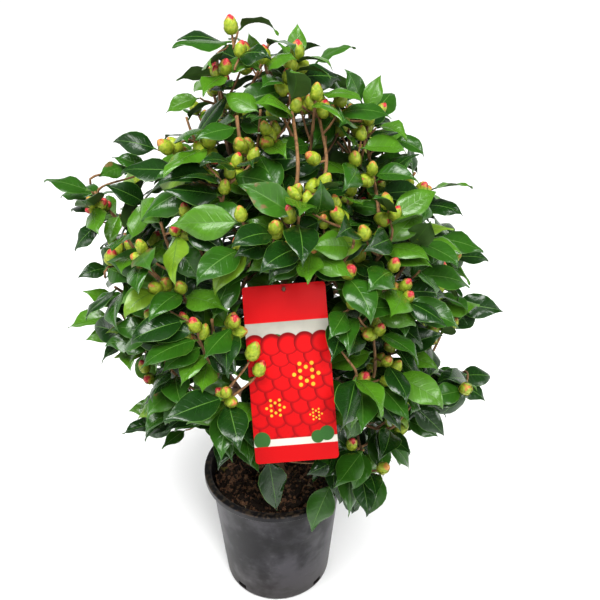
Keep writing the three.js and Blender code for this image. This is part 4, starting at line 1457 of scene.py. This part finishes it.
under_rim = POT_HEIGHT - RIM_DEPTH
under_step = under_rim - STEP_DEPTH
foot_radius = WALL_FOOT_RADIUS - FOOT_ROUNDING
corners = [np.array(corner, float) for corner in (
    (0, 0), (foot_radius - 16, 0), (foot_radius - 14, 1.4), (foot_radius - 6, 1.4), (foot_radius - 4, 0),
    (foot_radius, 0), (WALL_FOOT_RADIUS - 1, 1.2), (WALL_FOOT_RADIUS, FOOT_ROUNDING),
    (WALL_TOP_RADIUS, under_step), (WALL_TOP_RADIUS + STEP_OUT, under_step + 0.6),
    (WALL_TOP_RADIUS + STEP_OUT, under_rim), (RIM_RADIUS, under_rim), (RIM_RADIUS, POT_HEIGHT),
    (RIM_RADIUS - RIM_WIDTH + 1.5, POT_HEIGHT), (RIM_RADIUS - RIM_WIDTH, POT_HEIGHT - 1.2),
    (inner_radius(under_step), under_step), (inner_radius(FOOT_ROUNDING), FOOT_ROUNDING),
    (FOOT_RIM_RADIUS, FLOOR_THICKNESS), (0, FLOOR_THICKNESS),
)]
rounding = (0, 0.8, 0.8, 0.8, 0.8, 1, 11, 3, 0.6, 0.5, 1.2, 1.2, 2, 1.2, 1, 3, 6, 6, 0)
pot_points, pot_faces = lathe(rounded(corners, rounding), POT_SIDES)
pot_pile = Pile()
pot_pile.add(pot_points, pot_faces, ["pot_plastic"] * len(pot_faces))
pot = pot_pile.make("nursery_pot", "pot", ["pot"])
notch_pile = Pile()
for azimuth in NOTCH_AZIMUTHS:
    ahead = outward(azimuth)
    axes = np.array([(ahead[1], -ahead[0], 0), ahead, UP])
    middle = place(azimuth, WALL_FOOT_RADIUS - FOOT_ROUNDING / 3, FOOT_ROUNDING)
    corners = middle + BOX_CORNERS * NOTCH_SIZE / 2 @ axes
    notch_pile.add(corners, BOX_FACES, ["pot_plastic"] * len(BOX_FACES))
notches = notch_pile.make("notches", "pot")
cut = pot.modifiers.new("notches", "BOOLEAN")
cut.operation = "DIFFERENCE"
cut.solver = "EXACT"
cut.object = notches
bpy.context.view_layer.update()
cut_mesh = bpy.data.meshes.new_from_object(pot.evaluated_get(bpy.context.evaluated_depsgraph_get()))
pot.modifiers.clear()
pot.data = cut_mesh
bpy.data.objects.remove(notches)
pot.data.shade_smooth()
pot.data.set_sharp_from_angle(angle=math.radians(38))

# Compost: a lumpy surface with the old root ball standing out of it, then chips and crumbs
ROOT_BALL = (-69, -8)
ROOT_BALL_RADIUS = 27
ROOT_BALL_RISE = 15
HOLLOW = (-32, 0)
HOLLOW_RADIUS = 17
HOLLOW_DEPTH = 12
SOIL_DROP = 5
SOIL_SEAT_RADIUS = 14
SOIL_SEAT_WIDTH = 22
SOIL_EDGE_START = 84
SOIL_EDGE_WIDTH = 14
SOIL_EDGE_DROP = 7
LUMP_SCALE, LUMP_HEIGHT = 0.045, 5
CLOD_SCALE, CLOD_HEIGHT = 0.19, 2.6
SOIL_SIDES = 120
SOIL_RINGS = 54
MOSS_PLACE = (-77, 6)
MOSS_RADIUS = 14
CHIP_COUNT = 3400
# Half sizes of chips, and of long ones: a least value and what is added
CHIP_SIZE = ((1.5, 4.4), (1.1, 2.3), (0.9, 1.7))
LONG_SIZE = ((3.5, 4.5), (0.35, 0.3), 0.3)
CHIP_UNEVENNESS = 0.25
CHIP_RISE = 0.8
BARK_BELOW = 0.3
MOSS_FROM = 0.6
LONG_FROM = 0.86
PALE_FROM = 0.985
PALE_BETWEEN = (0.42, 0.428)


def soil_height(x, y):
    reach = math.hypot(x, y)
    from_ball, from_hollow = (math.dist((x, y), middle) for middle in (ROOT_BALL, HOLLOW))
    rise = ROOT_BALL_RISE * max(0.0, 1 - (from_ball / ROOT_BALL_RADIUS) ** 3)
    rise -= HOLLOW_DEPTH * max(0.0, 1 - (from_hollow / HOLLOW_RADIUS) ** 2)
    lump = noise.fractal(Vector((x, y, 0)) * LUMP_SCALE, 0.8, 2.0, 4) * LUMP_HEIGHT
    lump += noise.noise(Vector((x, y, 9)) * CLOD_SCALE) * CLOD_HEIGHT
    edge = max(0.0, (reach - SOIL_EDGE_START) / SOIL_EDGE_WIDTH)
    seat = min(1.0, max(0.0, (reach - SOIL_SEAT_RADIUS) / SOIL_SEAT_WIDTH))
    return SOIL_LEVEL - SOIL_DROP * seat + (rise + lump) * seat - SOIL_EDGE_DROP * edge**2


def soil_ring(reach, height=None):
    """A ring of points at a height, or on the lumpy surface."""
    spots = [(reach * math.cos(turn), reach * math.sin(turn)) for turn in turns_of(SOIL_SIDES)]
    return [(x, y, soil_height(x, y) if height is None else height) for x, y in spots]


soil_edge = inner_radius(SOIL_LEVEL) - 0.9
surface = [(0, 0, soil_height(0, 0))]
for ring in range(1, SOIL_RINGS + 1):
    surface += soil_ring(soil_edge * ring / SOIL_RINGS)
surface += soil_ring(soil_edge - 1, SOIL_LEVEL - 14)
surface += soil_ring(inner_radius(FOOT_ROUNDING) - 1, FOOT_ROUNDING + 1)
surface.append((0, 0, FLOOR_THICKNESS + GAP))
faces = [face[::-1] for face in tube_faces(SOIL_RINGS + 2, SOIL_SIDES)[0]]
soil_pile = Pile()
soil_pile.add(np.array(surface), faces, ["soil"] * len(faces))
soil_pile.make("compost_surface", "compost", ["compost"])

draw = seeded(41)
chips = Pile()
for index in range(CHIP_COUNT):
    reach, angle = (soil_edge - 4) * math.sqrt(draw()), draw() * 2 * math.pi
    x, y = reach * math.cos(angle), reach * math.sin(angle)
    kind_draw = draw()
    is_long = kind_draw > LONG_FROM
    (least, more), *others = CHIP_SIZE
    size = np.array([least + more * draw() ** 2, *(above(draw, *other) for other in others)])
    if is_long:
        length, width, thickness = LONG_SIZE
        size = np.array([above(draw, *length), above(draw, *width), thickness])
    along = unit(np.array([spread(draw, 1), spread(draw, 1), spread(draw, 0.5)]))
    side = side_of(along)
    axes = np.array([along, side, np.cross(along, side)])
    uneven = np.array([[spread(draw, 1) for _ in range(3)] for _ in BOX_CORNERS])
    shape = BOX_CORNERS * size * (1 + CHIP_UNEVENNESS * uneven)
    middle = np.array([x, y, soil_height(x, y) + CHIP_RISE * size[2]])
    kind = "bark_chip" if kind_draw < BARK_BELOW or is_long else "peat_crumb"
    if kind_draw > PALE_FROM or PALE_BETWEEN[0] < kind_draw < PALE_BETWEEN[1]:
        kind = "pale_chip"
    elif math.dist((x, y), MOSS_PLACE) < MOSS_RADIUS and kind_draw > MOSS_FROM:
        kind = "moss"
    chips.add(middle + shape @ axes, BOX_FACES, [kind] * len(BOX_FACES))
chips.make("compost_chips", "compost", (), 25)


# Label: a printed card with plain bands, scallops and dotted rounds. Places on it are across from
# its middle and down from its top edge, then a radius or a size
RED, DEEP_RED, CREAM = (0.50, 0.004, 0.006), (0.20, 0.002, 0.004), (0.46, 0.445, 0.39)
GOLD, LEAF_GREEN = (0.66, 0.34, 0.03), (0.030, 0.095, 0.022)
HEADER_END, BAND_END, DESIGN_END, FOOT_START = 40, 50, 165.5, 173
PRINT_EDGE = 0.4
SCALLOP_ROWS = 9
SCALLOP_LOWEST = 168
SCALLOP_STEPS = (18, 13)
SCALLOP_RADIUS = 12
SCALLOP_FACE = (1.2, 9.4, 2.5)
UPPER_LEAVES = ((-12, 61, 8), (-2, 60, 6))
LOWER_LEAVES = ((24, 166, 7), (34, 163, 8), (-36, 166, 9))
DOTTED_ROUNDS = ((17, 98, 1.25), (-19, 132, 0.9), (24, 142, 0.6))
ROUND_RADII = (6, 10.5)
ROUND_DOTS = 12
DOT_RADIUS = 1.7


def label_print():
    finish = Finish("label_print")
    centred = finish.place() * (1 / METRES) - tuple(LABEL_TOP)
    across, up_card = (
        finish.node("ShaderNodeVectorMath", {"operation": "DOT_PRODUCT"}, {0: centred, 1: tuple(axis)}, 1)
        for axis in LABEL_AXES.T[:2]
    )
    down = up_card * -1.0

    def disc(design, x, y, radius, colour, soft=0.5):
        away = ((across - x) ** 2.0 + (down - y) ** 2.0) ** 0.5
        return finish.mix(finish.steps(away, radius + soft, radius - soft), design, colour)

    def below(height, edge=PRINT_EDGE):
        return finish.steps(down, height - edge, height + edge)

    ground = finish.mix(finish.steps(finish.noise(40, 3.0), 0.35, 0.7), CREAM, shaded(CREAM, 0.86))
    design = ground
    for leaf in UPPER_LEAVES:
        design = disc(design, *leaf, LEAF_GREEN)
    for row in range(SCALLOP_ROWS):
        tone = shaded(RED, 0.72 + 0.5 * row / SCALLOP_ROWS)
        y = SCALLOP_LOWEST - row * SCALLOP_STEPS[1]
        drop, radius, soft = SCALLOP_FACE
        for column in range(7 - row % 2):
            x = (column - 3 + row % 2 / 2) * SCALLOP_STEPS[0]
            design = disc(design, x, y, SCALLOP_RADIUS, DEEP_RED)
            design = disc(design, x, y + drop, radius, tone, soft)
    for x, y, size in DOTTED_ROUNDS:
        for dot in range(ROUND_DOTS):
            angle, reach = dot * 2 * math.pi / ROUND_DOTS, ROUND_RADII[dot % 2] * size
            spot = (x + reach * math.sin(angle), y + reach * math.cos(angle))
            design = disc(design, *spot, DOT_RADIUS * size, GOLD)
    design = finish.mix(below(DESIGN_END, 0.5), design, ground)
    for leaf in LOWER_LEAVES:
        design = disc(design, *leaf, LEAF_GREEN)
    design = finish.mix(below(HEADER_END) * (1 - below(BAND_END)), design, ground)
    # The header and the foot are one printed red. The header is painted lighter to make up for the leaves'
    # shade over it, and the foot darker where the lamps light it fully: painted light and shade.
    design = finish.mix(1 - below(HEADER_END), design, shaded(RED, 1.35))
    design = finish.mix(below(FOOT_START), design, shaded(RED, 0.74))
    return finish.surface({
        "Base Color": design, "Roughness": finish.noise(25, 3.0) * 0.12 + 0.26,
        "Normal": finish.bump(finish.noise(60, 2.0), 0.05, 0.0004), "Specular IOR Level": 0.2,
    })


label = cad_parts["label"]
label.data.materials.clear()
label.data.materials.append(label_print())

# Floor, light and camera
FLOOR_REACH = 60
LAMP_AIM = Vector((0, 0, 0.45))
floor_finish = Finish("pale_floor")
floor_finish.surface({"Base Color": (0.93, 0.93, 0.93), "Roughness": 0.9, "Specular IOR Level": 0.1})
floor_mesh = bpy.data.meshes.new("floor")
floor_corners = [(x * FLOOR_REACH, y * FLOOR_REACH, 0) for x, y in ((-1, -1), (1, -1), (1, 1), (-1, 1))]
floor_mesh.from_pydata(floor_corners, [], [(0, 1, 2, 3)])
floor_mesh.materials.append(floor_finish.material)
shown("floor", floor_mesh)

world = bpy.data.worlds.new("studio")
studio = Finish("studio", world)
sky_height = studio.part(studio.node("ShaderNodeTexCoord", {}, {}, 0), 2)
studio.surface({"Color": (1, 1, 1), "Strength": studio.steps(sky_height, 0.5, 0.2) * 0.86 + 0.14})
bpy.context.scene.world = world
# Lamps: kind, place, then size in metres or spread in radians, and power
LAMPS = {
    "key_sun": ("SUN", (0.5, -1.2, 3.2), 0.6, 2.6),
    "back_sun": ("SUN", (-0.6, 1.9, 2.6), 0.75, 0.8),
    "softbox_over": ("AREA", (-0.5, -0.7, 2.3), 0.9, 38),
    "softbox_front": ("AREA", (0.6, -1.9, 2.1), 0.7, 20),
    "softbox_left": ("AREA", (-2.0, -1.2, 1.1), 0.8, 8),
    "softbox_right": ("AREA", (2.0, -1.0, 1.0), 0.8, 15),
}
for name, (kind, spot, size, power) in LAMPS.items():
    lamp = bpy.data.lights.new(name, kind)
    setattr(lamp, "angle" if kind == "SUN" else "size", size)
    lamp.energy = power
    holder = shown(name, lamp)
    holder.location = spot
    holder.visible_glossy = kind == "AREA"
    holder.rotation_euler = (LAMP_AIM - Vector(spot)).to_track_quat("-Z", "Y").to_euler()

camera_data = bpy.data.cameras.new("camera")
camera_data.lens = CAMERA_LENS
camera_data.sensor_width = CAMERA_SENSOR
camera_data.clip_end = 200
camera = shown("camera", camera_data)
camera.location = CAMERA_PLACE * METRES
camera.rotation_euler = (math.radians(90 - CAMERA_TILT), 0, 0)
bpy.context.scene.camera = camera
view = bpy.context.scene.view_settings
view.view_transform, view.gamma = "Standard", 0.9
